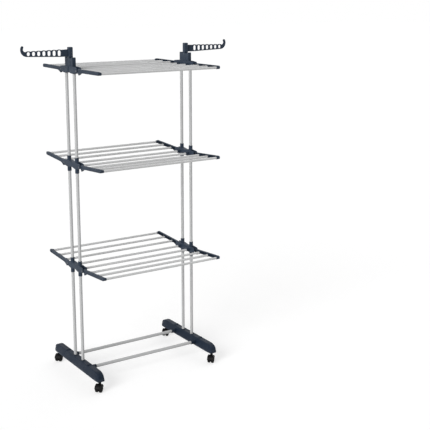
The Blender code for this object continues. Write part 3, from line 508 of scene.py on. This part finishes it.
def footMesh():
    halfLength, top = foot["length"] / 2, foot["top"]
    halfWall = foot["wall"] / 2
    under = foot["bottom"] + fit["overrun"]
    over = top + fit["overrun"]
    sideIn = foot["width"] / 2 - foot["draft"] - halfWall
    stretcherOut = (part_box("back_stretcher")[0].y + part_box("back_stretcher")[1].y) / 2
    stretcherHeight = foot["stretcherHeight"]
    casterOut = halfLength - foot["casterInset"]
    stemRoof = roofHeight(casterOut + foot["stemSocketRadius"]) - halfWall
    shift = foot["postShift"]
    holeRadius = tube["postRadius"] + fit["gap"]
    adds, cuts = [], []
    for side in (-1, 1):
        post = side * postOut
        stretcher = side * stretcherOut
        stem = side * casterOut
        adds.append(roundBar(foot["collarRadius"], (shift, post, under),
                             (shift, post, top - foot["collarSink"])))
        adds.append(roundBar(foot["socketRadius"], (-sideIn, stretcher, stretcherHeight),
                             (foot["socketEnd"], stretcher, stretcherHeight),
                             foot["socketRounding"]))
        adds.append(roundBar(foot["stemSocketRadius"], (0, stem, foot["bottom"]),
                             (0, stem, stemRoof)))
        for inset in foot["ribInsets"]:
            rib = side * (halfLength - inset)
            adds.append(block((-sideIn, rib - foot["ribThickness"] / 2, under),
                              (sideIn, rib + foot["ribThickness"] / 2, top - foot["corner"])))
        bump = side * (halfLength - foot["bumpInset"])
        base = foot["bumpLength"] / 2
        sunk = top - foot["wall"] * foot["bumpSinkShare"]
        crest = top + foot["bumpHeight"]
        outline = [(bump - base, sunk), (bump + base, sunk),
                   (bump + base / 2, crest), (bump - base / 2, crest)]
        adds.append(plate([outline], foot["bumpWidth"], endView, (0, 0, 0), foot["bumpRounding"]))
        cuts.append(roundBar(holeRadius, (shift, post, foot["socketFloor"]), (shift, post, over)))
        cuts.append(roundBar(tube["stretcherRadius"] + fit["gap"],
                             (halfWall - sideIn, stretcher, stretcherHeight),
                             (foot["socketEnd"] + fit["overrun"], stretcher, stretcherHeight)))
        cuts.append(roundBar(foot["stemRadius"], (0, stem, foot["bottom"] - fit["overrun"]),
                             (0, stem, foot["stemTop"])))
        near = holeRadius + foot["windowWall"]
        windowSide = foot["windowWidth"] / 2
        for window in (post + near, post - near - foot["windowLength"]):
            cuts.append(block((shift - windowSide, window, top - foot["wall"] - fit["overrun"]),
                              (shift + windowSide, window + foot["windowLength"], over)))
    return joined(footShell(), adds, cuts)


footBody = footMesh()
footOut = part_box("right_foot_beam")[1].x - foot["width"] / 2
for end, side in ends.items():
    place = Matrix.Translation((side * footOut, 0, 0)) @ endTurn(side)
    putPiece(f"{end}FootBeam", footBody, place, footPlastic, "root", f"{end}_foot_beam")
print("foot beams made")


# tier brackets: a block round the posts, with two plates at each end for a wing arm

bracket = {
    "halfHeight": 0.0175, "outer": 0.0105, "inner": 0.0145, "rounding": 0.001,
    "archTop": 0.0045, "archBottom": 0.0065, "archSteps": 10,
    "slotOuter": 0.0075, "slotInner": 0.0115, "slotStart": 0.0573,
    "collarRadius": 0.0103, "collarHalfLength": 0.039, "collarRounding": 0.0009,
    "webRadius": 0.008, "webSinkShare": 0.25, "webThickness": 0.012, "webSteps": 8,
    "plateTop": 0.0145, "plateBottom": 0.0105, "plateCorner": 0.006, "plateMargin": 0.009,
    "cornerSteps": 7, "rodDrop": 0.003, "socketRadius": 0.0076, "socketEnd": 0.032,
    "socketFloor": 0.0115, "socketRounding": 0.0005,
}
rivet = {
    "radius": 0.0025, "headRadius": 0.0046, "headThickness": 0.0015, "domeSteps": 6, "sides": 28,
}
pivotOut = hinges["lower", "back"].y
bracketMiddle = (bracket["inner"] - bracket["outer"]) / 2


def bracketOutline(archTop, archBottom):
    # a wave between the posts, straight past the collars, and round corners at the plates' ends
    near = postOut - bracket["collarRadius"]
    far = postOut + bracket["collarRadius"]
    corner = bracket["plateCorner"]
    cornerOut = pivotOut + bracket["plateMargin"] - corner
    height = bracket["halfHeight"]
    steps = bracket["archSteps"]
    waves = [(near * step / steps, (1 + math.cos(math.pi * step / steps)) / 2)
             for step in range(steps + 1)]
    half = [(across, height - archTop * wave) for across, wave in waves]
    half.append((far, height))
    half += arc((cornerOut, bracket["plateTop"] - corner), corner, 90, 0, bracket["cornerSteps"])
    half += arc((cornerOut, corner - bracket["plateBottom"]), corner, 0, -90,
                bracket["cornerSteps"])
    half.append((far, -height))
    half += [(across, archBottom * wave - height) for across, wave in reversed(waves)]
    return mirrored(half)


def collarWeb(post):
    # curved webs from the block up and down the sides of a collar
    radius = bracket["webRadius"]
    reach = bracket["collarRadius"] + radius
    level = bracket["halfHeight"] - radius * bracket["webSinkShare"] + radius
    corners = ((reach, level, 270, 180), (-reach, level, 0, -90),
               (-reach, -level, 90, 0), (reach, -level, 180, 90))
    outline = []
    for across, up, startAngle, endAngle in corners:
        outline += arc((post + across, up), radius, startAngle, endAngle, bracket["webSteps"])
    return plate([outline], bracket["webThickness"], endView, (0, 0, 0), bracket["rounding"])


def slotCuts():
    # the slots between the two plates, where the wing arms go in
    height = bracket["halfHeight"] + fit["overrun"]
    slotEnd = pivotOut + bracket["plateMargin"] + fit["overrun"]
    cuts = []
    for side in (-1, 1):
        near, far = sorted((side * bracket["slotStart"], side * slotEnd))
        cuts.append(block((-bracket["slotOuter"], near, -height),
                          (bracket["slotInner"], far, height)))
    return cuts


def rodSockets():
    # for the two centre rods, on the inner side
    adds, cuts = [], []
    for side in (-1, 1):
        spot = (side * postOut, -bracket["rodDrop"])
        adds.append(roundBar(bracket["socketRadius"], (bracket["inner"] - fit["overrun"], *spot),
                             (bracket["socketEnd"], *spot), bracket["socketRounding"]))
        cuts.append(roundBar(tube["rodRadius"] + fit["gap"], (bracket["socketFloor"], *spot),
                             (bracket["socketEnd"] + fit["overrun"], *spot)))
    return adds, cuts


def bracketBlock(archTop, archBottom):
    return plate([bracketOutline(archTop, archBottom)], bracket["outer"] + bracket["inner"],
                 endView, (bracketMiddle, 0, 0), bracket["rounding"])


def tierBracketMesh():
    adds, cuts = rodSockets()
    reach = bracket["collarHalfLength"]
    through = reach + fit["overrun"]
    for side in (-1, 1):
        post = side * postOut
        adds.append(collarWeb(post))
        adds.append(roundBar(bracket["collarRadius"], (0, post, -reach), (0, post, reach),
                             bracket["collarRounding"]))
        cuts.append(roundBar(tube["postRadius"] + fit["gap"], (0, post, -through),
                             (0, post, through)))
    return joined(bracketBlock(bracket["archTop"], bracket["archBottom"]), adds,
                  cuts + slotCuts())


tower = {
    "halfWidth": 0.043, "depth": 0.0185, "top": 0.056, "cornerWidth": 0.013, "cornerHeight": 0.004,
    "rounding": 0.0008, "grooveWidth": 0.003, "grooveDepth": 0.001, "groovePlace": 0.018,
    "slotHalfWidth": 0.0045, "slotDepth": 0.002, "postRise": 0.010,
    "stemRadius": 0.0062, "stemLength": 0.030,
}


def topBracketMesh():
    # the top bracket carries a tower with raised corners, where the hanger arm's stem turns
    adds, cuts = rodSockets()
    front = bracketMiddle - tower["depth"] / 2
    back = bracketMiddle + tower["depth"] / 2
    halfWidth = tower["halfWidth"]
    height = bracket["halfHeight"]
    under = height + fit["overrun"]
    over = tower["top"] + fit["overrun"]
    adds.append(block((front, -halfWidth, height - 2 * fit["overrun"]),
                      (back, halfWidth, tower["top"]), tower["rounding"]))
    for side in (-1, 1):
        near, far = sorted((side * halfWidth, side * (halfWidth - tower["cornerWidth"])))
        adds.append(block((front, near, tower["top"] - 2 * fit["overrun"]),
                          (back, far, tower["top"] + tower["cornerHeight"]), tower["rounding"]))
        groove = side * tower["groovePlace"]
        cuts.append(block((front - fit["overrun"], groove - tower["grooveWidth"] / 2, under),
                          (front + tower["grooveDepth"], groove + tower["grooveWidth"] / 2, over)))
        cuts.append(roundBar(tube["postRadius"] + fit["gap"], (0, side * postOut, -under),
                             (0, side * postOut, tower["postRise"])))
    slotSide = tower["slotHalfWidth"]
    cuts.append(block((-bracket["outer"] - fit["overrun"], -slotSide, -under),
                      (tower["slotDepth"] - bracket["outer"], slotSide, height - fit["overrun"])))
    cuts.append(roundBar(tower["stemRadius"] + fit["gap"],
                         (bracketMiddle, 0, tower["top"] - tower["stemLength"] - fit["gap"]),
                         (bracketMiddle, 0, over)))
    return joined(bracketBlock(0, bracket["archTop"]), adds, cuts + slotCuts())


def rivetMesh():
    # domed head outside the outer plate, and the shaft that the wing arm turns on
    radius, head, thickness = rivet["radius"], rivet["headRadius"], rivet["headThickness"]
    steps = rivet["domeSteps"]
    angles = [math.radians(90 - 90 * step / steps) for step in range(1, steps + 1)]
    dome = [(head * math.cos(angle), thickness * math.sin(angle)) for angle in angles]
    length = bracket["outer"] + bracket["inner"] - fit["overrun"]
    profile = [(0, thickness)] + dome + [(radius, 0), (radius, -length), (0, -length)]
    return turned(profile, rivet["sides"])


bracketBodies = {"lower": tierBracketMesh(), "top": topBracketMesh()}
bracketBodies["middle"] = bracketBodies["lower"]
rivetBody = rivetMesh()
for tier in tiers:
    for end, side in ends.items():
        place = Matrix.Translation((side * endOut, 0, tierHeights[tier])) @ endTurn(side)
        putPiece(f"{tier}{end.title()}Bracket", bracketBodies[tier], place, slatePlastic, "root",
                 f"{tier}_{end}_bracket")
        outwards = Matrix.Rotation(side * math.pi / 2, 4, "Y")
        for row in rows:
            spot = hinges[tier, row].copy()
            spot.x = side * (endOut + bracket["outer"])
            putPiece(f"{tier}{row.title()}{end.title()}Rivet", rivetBody,
                     Matrix.Translation(spot) @ outwards, rivetSteel, "root")
print("brackets and rivets made")


# wing arms: channels that open inwards, with sockets for three rods

arm = {
    "height": 0.0175, "tipHeight": 0.0172, "rodDrop": 0.0015, "depth": 0.0115, "outer": 0.007,
    "wall": 0.002, "rounding": 0.0011, "pivotRadius": 0.0078, "pivotStart": 110,
    "shoulder": 0.011, "arcSteps": 12, "hubDepth": 0.0108, "hubRadius": 0.0056,
    "rodReaches": (0.056, 0.1385, 0.221), "socketRadius": 0.0074, "socketProud": 0.0075,
    "socketRounding": 0.0005, "ribThickness": 0.0012, "ribSetback": 0.0015,
    "ribReaches": (0.036, 0.0765, 0.097, 0.1175, 0.159, 0.180, 0.2005),
    "flareStart": 0.0135, "flareNeck": 0.0008, "flareCorner": 0.0175, "flareEnd": 0.057,
    "flareDepth": 0.012, "flareSteps": 9, "flareHoleRadius": 0.0026,
    "panelDepth": 0.0010, "panelHeight": 0.0095, "panelStart": 0.024, "panelEnd": 0.010,
    "panelSteps": 8, "notchStart": 0.0085, "notchLength": 0.006, "notchHeight": 0.011,
    "tilt": 3.5, "topTilt": 0.3,
}


def armOutline(inset):
    # outline in x and z with the pivot at the origin, drawn in by the inset
    top = arm["rodDrop"] + arm["height"] / 2 - inset
    bottom = arm["rodDrop"] - arm["height"] / 2 + inset
    outline = [(arm["shoulder"], top)]
    outline += arc((0, 0), arm["pivotRadius"] - inset, arm["pivotStart"], 270, arm["arcSteps"])
    outline.append((arm["flareStart"] + inset, bottom - arm["flareNeck"]))
    corner = arm["flareCorner"] + inset
    flareDepth = arm["flareDepth"] - inset / 2
    for step in range(arm["flareSteps"] + 1):
        share = step / arm["flareSteps"]
        outline.append((corner + (arm["flareEnd"] - corner) * share,
                        bottom - flareDepth * (1 - share) ** 2))
    return outline + arc((arm["rodReaches"][-1], arm["rodDrop"]), arm["tipHeight"] / 2 - inset,
                         -90, 90, arm["arcSteps"])


def slotOutline(start, end, middle, height):
    # long hole with round ends
    radius = height / 2
    return (arc((end - radius, middle), radius, -90, 90, arm["panelSteps"])
            + arc((start + radius, middle), radius, 90, 270, arm["panelSteps"]))


def armMesh(hand):
    # hand is 1 for a channel that opens to +y, and -1 for its mirror image
    outerFace = -hand * arm["outer"]
    innerFace = hand * (arm["depth"] - arm["outer"])
    middle = (outerFace + innerFace) / 2
    under = outerFace + hand * arm["wall"] / 2
    floor = outerFace + hand * arm["wall"]
    over = fit["overrun"]
    hollow = plate([armOutline(arm["wall"])], arm["depth"] - arm["wall"] + over, sideView,
                   (0, middle + hand * (arm["wall"] + over) / 2, 0))
    shell = joined(plate([armOutline(0)], arm["depth"], sideView, (0, middle, 0), arm["rounding"]),
                   cuts=[hollow])
    adds = [roundBar(arm["hubRadius"], (0, under, 0), (0, hand * arm["hubDepth"], 0))]
    cuts = [roundBar(rivet["radius"] + fit["gap"], (0, outerFace - hand * over, 0),
                     (0, hand * (arm["hubDepth"] + over), 0))]
    rim = innerFace + hand * arm["socketProud"]
    for reach in arm["rodReaches"]:
        adds.append(roundBar(arm["socketRadius"], (reach, under, 0), (reach, rim, 0),
                             arm["socketRounding"]))
        cuts.append(roundBar(tube["rodRadius"] + fit["gap"], (reach, floor, 0),
                             (reach, rim + hand * over, 0)))
    ribHeight = (arm["height"] - arm["wall"]) / 2
    near, far = sorted((under, innerFace - hand * arm["ribSetback"]))
    for reach in arm["ribReaches"]:
        adds.append(block((reach - arm["ribThickness"] / 2, near, arm["rodDrop"] - ribHeight),
                          (reach + arm["ribThickness"] / 2, far, arm["rodDrop"] + ribHeight)))
    holeReach = arm["flareCorner"] + 2 * arm["flareHoleRadius"]
    holeRise = arm["rodDrop"] - arm["height"] / 2 - arm["flareHoleRadius"]
    cuts.append(roundBar(arm["flareHoleRadius"], (holeReach, outerFace - hand * over, holeRise),
                         (holeReach, floor + hand * over, holeRise)))
    panel = slotOutline(arm["panelStart"], arm["rodReaches"][-1] - arm["panelEnd"],
                        arm["rodDrop"], arm["panelHeight"])
    notchEnd = arm["notchStart"] + arm["notchLength"]
    notchBottom = arm["rodDrop"] - arm["notchHeight"] / 2
    notchTop = arm["rodDrop"] + arm["notchHeight"] / 2
    notch = [(arm["notchStart"], notchBottom), (notchEnd, notchBottom),
             (notchEnd, notchTop), (arm["notchStart"], notchTop)]
    for outline, depth in ((panel, arm["panelDepth"]), (notch, arm["wall"] + over)):
        cuts.append(plate([outline], 2 * depth, sideView, (0, outerFace, 0)))
    return joined(looseObject("arm", shell), adds, cuts)


armBodies = {-1: armMesh(1), 1: armMesh(-1)}
for tier in tiers:
    tilt = math.radians(arm["topTilt"] if tier == "top" else arm["tilt"])
    for row, depth in rows.items():
        wing = Matrix.Translation(hinges[tier, row]) @ Matrix.Rotation(depth * math.pi / 2, 4, "Z")
        wing = wing @ Matrix.Rotation(-tilt, 4, "Y")
        for side in (-1, 1):
            end = "left" if side == depth else "right"  # a back wing faces the other way
            putPiece(f"{tier}{row.title()}{end.title()}Arm", armBodies[side],
                     wing @ Matrix.Translation((0, side * endOut, 0)), slatePlastic,
                     f"{tier}_{row}_wing", f"{tier}_{row}_{end}_arm")
print("wing arms made")


# hanger arms: a row of rimmed ring holes that ends in a hook

hanger = {
    "thickness": 0.0055, "rounding": 0.0009, "reach": 0.256, "bottom": 0.007, "rise": 0.006,
    "holes": 7, "firstHole": 0.0575, "pitch": 0.0265, "holeWidth": 0.0165, "holeSteps": 14,
    "firstHeight": 0.028, "lastHeight": 0.019, "ringWall": 0.004,
    "scallop": 0.003, "scallopSteps": 10, "hookScallopStart": 2,
    "rimWidth": 0.0022, "rimThickness": 0.0069, "rimRounding": 0.0006,
    "hookRadius": 0.033, "hookCurl": 27, "hookSteps": 26, "notchRadius": 0.0123,
    "notchShift": 0.0077, "notchRise": 0.0025, "notchCurl": 35, "notchSteps": 16, "tipSteps": 10,
    "bossWidth": 0.021, "bossDepth": 0.022, "bossHeight": 0.053, "bossRounding": 0.0025,
}


def ringHole(index):
    # reach, middle height, half width and half height of a ring hole
    share = index / (hanger["holes"] - 1)
    height = hanger["firstHeight"] + (hanger["lastHeight"] - hanger["firstHeight"]) * share
    middle = hanger["bottom"] + hanger["rise"] * share + hanger["ringWall"] + height / 2
    reach = hanger["firstHole"] + hanger["pitch"] * index
    return reach, middle, hanger["holeWidth"] / 2, height / 2


def ringOutline(index, grow=0.0):
    reach, middle, halfWidth, halfHeight = ringHole(index)
    straight = halfHeight - halfWidth
    steps = hanger["holeSteps"]
    return (arc((reach, middle - straight), halfWidth + grow, 180, 360, steps)
            + arc((reach, middle + straight), halfWidth + grow, 0, 180, steps))


def hookOutline():
    # round the outside of the hook, over its tip and down into its notch
    hookFloor = hanger["bottom"] + hanger["rise"]
    centre = (hanger["reach"] - hanger["hookRadius"], hookFloor + hanger["hookRadius"])
    outside = arc(centre, hanger["hookRadius"], -90, hanger["hookCurl"], hanger["hookSteps"])
    notchCentre = (centre[0] + hanger["notchShift"], centre[1] + hanger["notchRise"])
    inside = arc(notchCentre, hanger["notchRadius"], hanger["notchCurl"], -90,
                 hanger["notchSteps"])
    tipAcross = (outside[-1][0] - inside[0][0]) / 2
    tipUp = (outside[-1][1] - inside[0][1]) / 2
    tipCentre = (inside[0][0] + tipAcross, inside[0][1] + tipUp)
    tipAngle = math.degrees(math.atan2(tipUp, tipAcross))
    tip = arc(tipCentre, math.hypot(tipAcross, tipUp), tipAngle, tipAngle + 180,
              hanger["tipSteps"])
    return outside + tip[1:-1] + inside


def hangerOutline():
    # along the straight lower edge, round the hook and back over the scallops
    points = [(0, hanger["bottom"]), (hanger["firstHole"], hanger["bottom"])] + hookOutline()
    steps = hanger["scallopSteps"]
    for index in reversed(range(hanger["holes"])):
        reach, middle, halfWidth, halfHeight = ringHole(index)
        crest = middle + halfHeight + hanger["ringWall"]
        nextToHook = index == hanger["holes"] - 1  # its scallop starts where the notch ends
        for step in range(hanger["hookScallopStart"] if nextToHook else 0, steps):
            share = 0.5 - step / steps
            drop = hanger["scallop"] * (1 - math.cos(math.pi * share))
            points.append((reach + hanger["pitch"] * share, crest - drop))
    points.append((0, crest))
    return points


def hangerMesh():
    holes = [ringOutline(index) for index in range(hanger["holes"])]
    strip = plate([hangerOutline()] + holes, hanger["thickness"], sideView, (0, 0, 0),
                  hanger["rounding"])
    adds = [plate([ringOutline(index, hanger["rimWidth"]), hole], hanger["rimThickness"],
                  sideView, (0, 0, 0), hanger["rimRounding"]) for index, hole in enumerate(holes)]
    halfDepth, halfWidth = hanger["bossDepth"] / 2, hanger["bossWidth"] / 2
    adds.append(block((-halfDepth, -halfWidth, fit["gap"]),
                      (halfDepth, halfWidth, hanger["bossHeight"]), hanger["bossRounding"]))
    adds.append(roundBar(tower["stemRadius"], (0, 0, -tower["stemLength"]),
                         (0, 0, hanger["bossHeight"] / 2)))
    mesh = joined(strip, adds)
    mesh.transform(Matrix.Rotation(math.pi, 4, "Z"))  # turned to point out at the left end
    return mesh


hangerBody = hangerMesh()
for end, side in ends.items():
    spot = Vector(joints[f"{end}_hanger"]["pos_m"])
    spot.z = tierHeights["top"] + tower["top"]
    place = Matrix.Translation(spot) @ endTurn(side)
    putPiece(f"{end}HangerArm", hangerBody, place, slatePlastic, f"{end}_hanger",
             f"{end}_hanger_arm")
print("hanger arms made")


# casters: a hood with a web between two wheels, which run on one axle

caster = {
    "trail": 0.012, "restTurn": -50, "pocketRadius": 0.0212, "pocketGap": 0.0002,
    "pocketSides": 56, "hoodWall": 0.0021, "wheelGap": 0.0095, "wheelWidth": 0.0105,
    "sideMargin": 0.0006, "dip": 15, "edgeRise": 0.003, "hoodSteps": 36, "rounding": 0.001,
    "neckRadius": 0.0075, "neckFlare": 0.0025, "neckRise": 0.0005, "neckStep": 0.0012,
    "neckStepDrop": 0.002, "stemRadius": 0.004, "stemTop": 0.0857, "stemBevel": 0.0006,
    "stemSides": 32, "flangeRadius": 0.0068, "flangeTop": 0.0555, "flangeThickness": 0.0022,
    "flangeBevel": 0.0004,
}
wheel = {
    "sides": 56, "capRadius": 0.0042, "capRise": 0.0007, "capBevel": 0.0008, "capLip": 0.0002,
    "dishRadius": 0.0112, "dishDepth": 0.0016, "dishFillet": 0.0015, "dishStep": 0.0006,
    "dishEdge": 0.0012, "edgeDrop": 0.0002, "tyreRadius": 0.0160, "seamDepth": 0.0005,
    "seamHalfWidth": 0.0003, "shoulder": 0.0022, "shoulderSteps": 5, "treadGroove": 0.0004,
    "grooveHalfWidth": 0.0009, "grooveHalfFloor": 0.0005, "backRecess": 0.0004,
}
axle = {"radius": 0.0022, "halfLength": 0.012, "bevel": 0.0004, "sides": 24}


def stemProfile(axleHeight):
    # down the stem, round its flange and down the neck to the top of the wheel pocket
    stem, stemTop, bevel = caster["stemRadius"], caster["stemTop"], caster["stemBevel"]
    flange, flangeTop, flangeBevel = (caster["flangeRadius"], caster["flangeTop"],
                                      caster["flangeBevel"])
    flangeBottom = flangeTop - caster["flangeThickness"]
    neck = caster["neckRadius"]
    neckIn = neck - caster["neckStep"]
    pocketRise = math.sqrt(caster["pocketRadius"] ** 2 - (caster["trail"] - neck) ** 2)
    neckFloor = axleHeight + pocketRise + caster["neckRise"]
    return [(0, stemTop), (stem - bevel, stemTop), (stem, stemTop - bevel), (stem, flangeTop),
            (flange - flangeBevel, flangeTop), (flange, flangeTop - flangeBevel),
            (flange, flangeBottom + flangeBevel), (flange - flangeBevel, flangeBottom),
            (neckIn, flangeBottom), (neckIn, flangeBottom - caster["neckStepDrop"]),
            (neck, neckFloor + caster["neckFlare"]), (neck, neckFloor), (0, neckFloor)]


def hoodMesh(axleHeight):
    outerRadius = caster["pocketRadius"] + caster["pocketGap"] + caster["hoodWall"]
    halfWidth = caster["wheelGap"] / 2 + caster["wheelWidth"] + caster["sideMargin"]
    web = caster["wheelGap"] / 2 - fit["gap"]
    trail = caster["trail"]
    outline = arc((-trail, axleHeight), outerRadius, -caster["dip"], 180 + caster["dip"],
                  caster["hoodSteps"])
    body = plate([outline], 2 * halfWidth, endView, (0, 0, 0), caster["rounding"])
    adds = [looseObject("stem", turned(stemProfile(axleHeight), caster["stemSides"]))]
    cuts = []
    for side in (-1, 1):
        near, far = sorted((side * web, side * (halfWidth + fit["overrun"])))
        cuts.append(roundBar(caster["pocketRadius"], (near, -trail, axleHeight),
                             (far, -trail, axleHeight), 0.0, caster["pocketSides"]))
        cuts.append(block((near, -trail - outerRadius - fit["overrun"], -fit["overrun"]),
                          (far, outerRadius, axleHeight + caster["edgeRise"])))
    cuts.append(roundBar(axle["radius"] + fit["gap"], (-halfWidth, -trail, axleHeight),
                         (halfWidth, -trail, axleHeight)))
    return joined(body, adds, cuts)


def wheelMesh(radius):
    # one wheel about x, its outer face towards +x: tyre with a groove, dished disc and hub cap
    half = caster["wheelWidth"] / 2
    cap, dish, tyre = wheel["capRadius"], wheel["dishRadius"], wheel["tyreRadius"]
    floor = half - wheel["dishDepth"]
    capTop = floor + wheel["capRise"]
    seam, shoulder = wheel["seamHalfWidth"], wheel["shoulder"]
    tyreEdge = arc((radius - shoulder, half - shoulder), shoulder, 90, 0, wheel["shoulderSteps"])
    groove, grooveHalf = wheel["grooveHalfFloor"], wheel["grooveHalfWidth"]
    grooveRadius = radius - wheel["treadGroove"]
    back = wheel["backRecess"] - half
    profile = [(0, capTop), (cap - wheel["capBevel"], capTop), (cap, floor + wheel["capLip"]),
               (cap, floor), (dish - wheel["dishFillet"], floor),
               (dish, floor + wheel["dishStep"]),
               (dish + wheel["dishStep"], half - wheel["edgeDrop"]),
               (dish + wheel["dishEdge"], half), (tyre - seam, half),
               (tyre, half - wheel["seamDepth"]), (tyre + seam, half)]
    profile += tyreEdge
    profile += [(radius, grooveHalf), (grooveRadius, groove), (grooveRadius, -groove),
                (radius, -grooveHalf)]
    profile += [(across, -up) for across, up in reversed(tyreEdge)]
    profile += [(cap, -half), (cap, back), (0, back)]
    mesh = turned(profile, wheel["sides"])
    mesh.transform(turnAlongX)
    return mesh


def axleMesh():
    radius, half, bevel = axle["radius"], axle["halfLength"], axle["bevel"]
    profile = [(0, half), (radius - bevel, half), (radius, half - bevel), (radius, bevel - half),
               (radius - bevel, -half), (0, -half)]
    return turned(profile, axle["sides"])


axleHeight = joints["front_left_wheelset"]["pos_m"][2]
hoodBody = hoodMesh(axleHeight)
wheelBody = wheelMesh(axleHeight)
axleBody = axleMesh()
wheelOut = (caster["wheelGap"] + caster["wheelWidth"]) / 2
for row in rows:
    for end in ends:
        swivel = joints[f"{row}_{end}_swivel"]["pos_m"]
        place = Matrix.Translation((swivel[0], swivel[1], 0))
        place = place @ Matrix.Rotation(math.radians(caster["restTurn"]), 4, "Z")
        name = f"{row}{end.title()}"
        putPiece(f"{name}CasterHood", hoodBody, place, casterPlastic, f"{row}_{end}_swivel",
                 f"{row}_{end}_caster_hood")
        for label, side in (("Inner", -1), ("Outer", 1)):
            spot = Matrix.Translation((side * wheelOut, -caster["trail"], axleHeight))
            putPiece(f"{name}{label}Wheel", wheelBody, place @ (spot @ endTurn(-side)),
                     wheelPlastic, f"{row}_{end}_wheelset", f"{row}_{end}_wheels")
        spot = Matrix.Translation((0, -caster["trail"], axleHeight))
        putPiece(f"{name}Axle", axleBody, place @ spot @ turnAlongX, rivetSteel,
                 f"{row}_{end}_wheelset")
print("casters made")


# floor, light and camera

studio = {
    "floorColour": (0.78, 0.78, 0.78, 1.0), "floorHalf": 40.0, "floorRoughness": 0.9,
    "cloudScale": 0.6, "cloudDetail": 2.0, "cloudShade": 0.995,
    "lightColour": (1, 1, 1, 1), "floorGlow": 0.34, "glowStrength": 1.66,
    "worldStrength": 0.37, "backdropStrength": 1.0,
    "keyStrength": 2.75, "keySpread": 35.0, "keyPlace": (-3.4, -1.5, 1.9),
    "fillStrength": 0.65, "fillSpread": 60.0, "fillPlace": (3.8, 1.8, 2.8),
}
cameraSetup = {
    "place": (-2.2662, -4.1495, 1.9761), "yaw": 33.882, "pitch": 11.689, "focal": 920.53,
    "imageWidth": 430.0, "sensorWidth": 36.0, "shiftY": -0.08,
}


def seenRays(tree):
    # 1 for what the camera sees directly, in gloss and through glass
    rays = tree.nodes.new("ShaderNodeLightPath")
    total = rays.outputs["Is Camera Ray"]
    for output in ("Is Glossy Ray", "Is Transmission Ray"):
        larger = tree.nodes.new("ShaderNodeMath")
        larger.operation = "MAXIMUM"
        tree.links.new(total, larger.inputs[0])
        tree.links.new(rays.outputs[output], larger.inputs[1])
        total = larger.outputs[0]
    return total


def makeFloor():
    half = studio["floorHalf"]
    corners = [(-half, -half, 0), (half, -half, 0), (half, half, 0), (-half, half, 0)]
    mesh = bpy.data.meshes.new("studioFloor")
    mesh.from_pydata(corners, [], [(0, 1, 2, 3)])
    floor = looseObject("studioFloor", mesh)
    finish, tree, shader = newFinish("floorCard")
    cloud = pieceNoise(tree, studio["cloudScale"], studio["cloudDetail"])
    tree.links.new(tint(tree, cloud, shade(studio["floorColour"], studio["cloudShade"]),
                        studio["floorColour"]), shader.inputs["Base Color"])
    shader.inputs["Roughness"].default_value = studio["floorRoughness"]
    shader.inputs["Specular IOR Level"].default_value = 0.0
    glow = tree.nodes.new("ShaderNodeEmission")
    glow.inputs["Color"].default_value = studio["lightColour"]
    glow.inputs["Strength"].default_value = studio["glowStrength"]
    part = tree.nodes.new("ShaderNodeMath")
    part.operation = "MULTIPLY"
    part.inputs[1].default_value = studio["floorGlow"]
    tree.links.new(seenRays(tree), part.inputs[0])
    mixer = tree.nodes.new("ShaderNodeMixShader")
    tree.links.new(part.outputs[0], mixer.inputs["Fac"])
    tree.links.new(shader.outputs["BSDF"], mixer.inputs[1])
    tree.links.new(glow.outputs["Emission"], mixer.inputs[2])
    tree.links.new(mixer.outputs["Shader"], tree.nodes["Material Output"].inputs["Surface"])
    mesh.materials.append(finish)


def addLamp(name, place, strength, spreadAngle):
    # broad even light, so the far floor is as bright as the near floor
    lampData = bpy.data.lights.new(name, "SUN")
    lampData.energy = strength
    lampData.angle = math.radians(spreadAngle)
    lamp = looseObject(name, lampData)
    lamp.location = place
    lamp.rotation_euler = (-Vector(place)).to_track_quat("-Z", "Y").to_euler()


def makeWorld():
    world = bpy.data.worlds.new("studioWorld")
    world.use_nodes = True
    tree = world.node_tree
    light = tree.nodes["Background"]
    light.inputs["Color"].default_value = studio["lightColour"]
    light.inputs["Strength"].default_value = studio["worldStrength"]
    backdrop = tree.nodes.new("ShaderNodeBackground")
    backdrop.inputs["Color"].default_value = studio["lightColour"]
    backdrop.inputs["Strength"].default_value = studio["backdropStrength"]
    mixer = tree.nodes.new("ShaderNodeMixShader")
    tree.links.new(seenRays(tree), mixer.inputs["Fac"])
    tree.links.new(light.outputs["Background"], mixer.inputs[1])
    tree.links.new(backdrop.outputs["Background"], mixer.inputs[2])
    tree.links.new(mixer.outputs["Shader"], tree.nodes["World Output"].inputs["Surface"])
    bpy.context.scene.world = world


def makeCamera():
    cameraData = bpy.data.cameras.new("photoCamera")
    cameraData.sensor_width = cameraSetup["sensorWidth"]
    cameraData.lens = cameraData.sensor_width * cameraSetup["focal"] / cameraSetup["imageWidth"]
    cameraData.shift_y = cameraSetup["shiftY"]
    camera = looseObject("photoCamera", cameraData)
    camera.location = cameraSetup["place"]
    camera.rotation_euler = (math.radians(90 - cameraSetup["pitch"]), 0,
                             -math.radians(cameraSetup["yaw"]))
    bpy.context.scene.camera = camera


makeFloor()
addLamp("keyLamp", studio["keyPlace"], studio["keyStrength"], studio["keySpread"])
addLamp("fillLamp", studio["fillPlace"], studio["fillStrength"], studio["fillSpread"])
makeWorld()
makeCamera()
bpy.context.scene.view_settings.view_transform = "Standard"
print("studio ready")
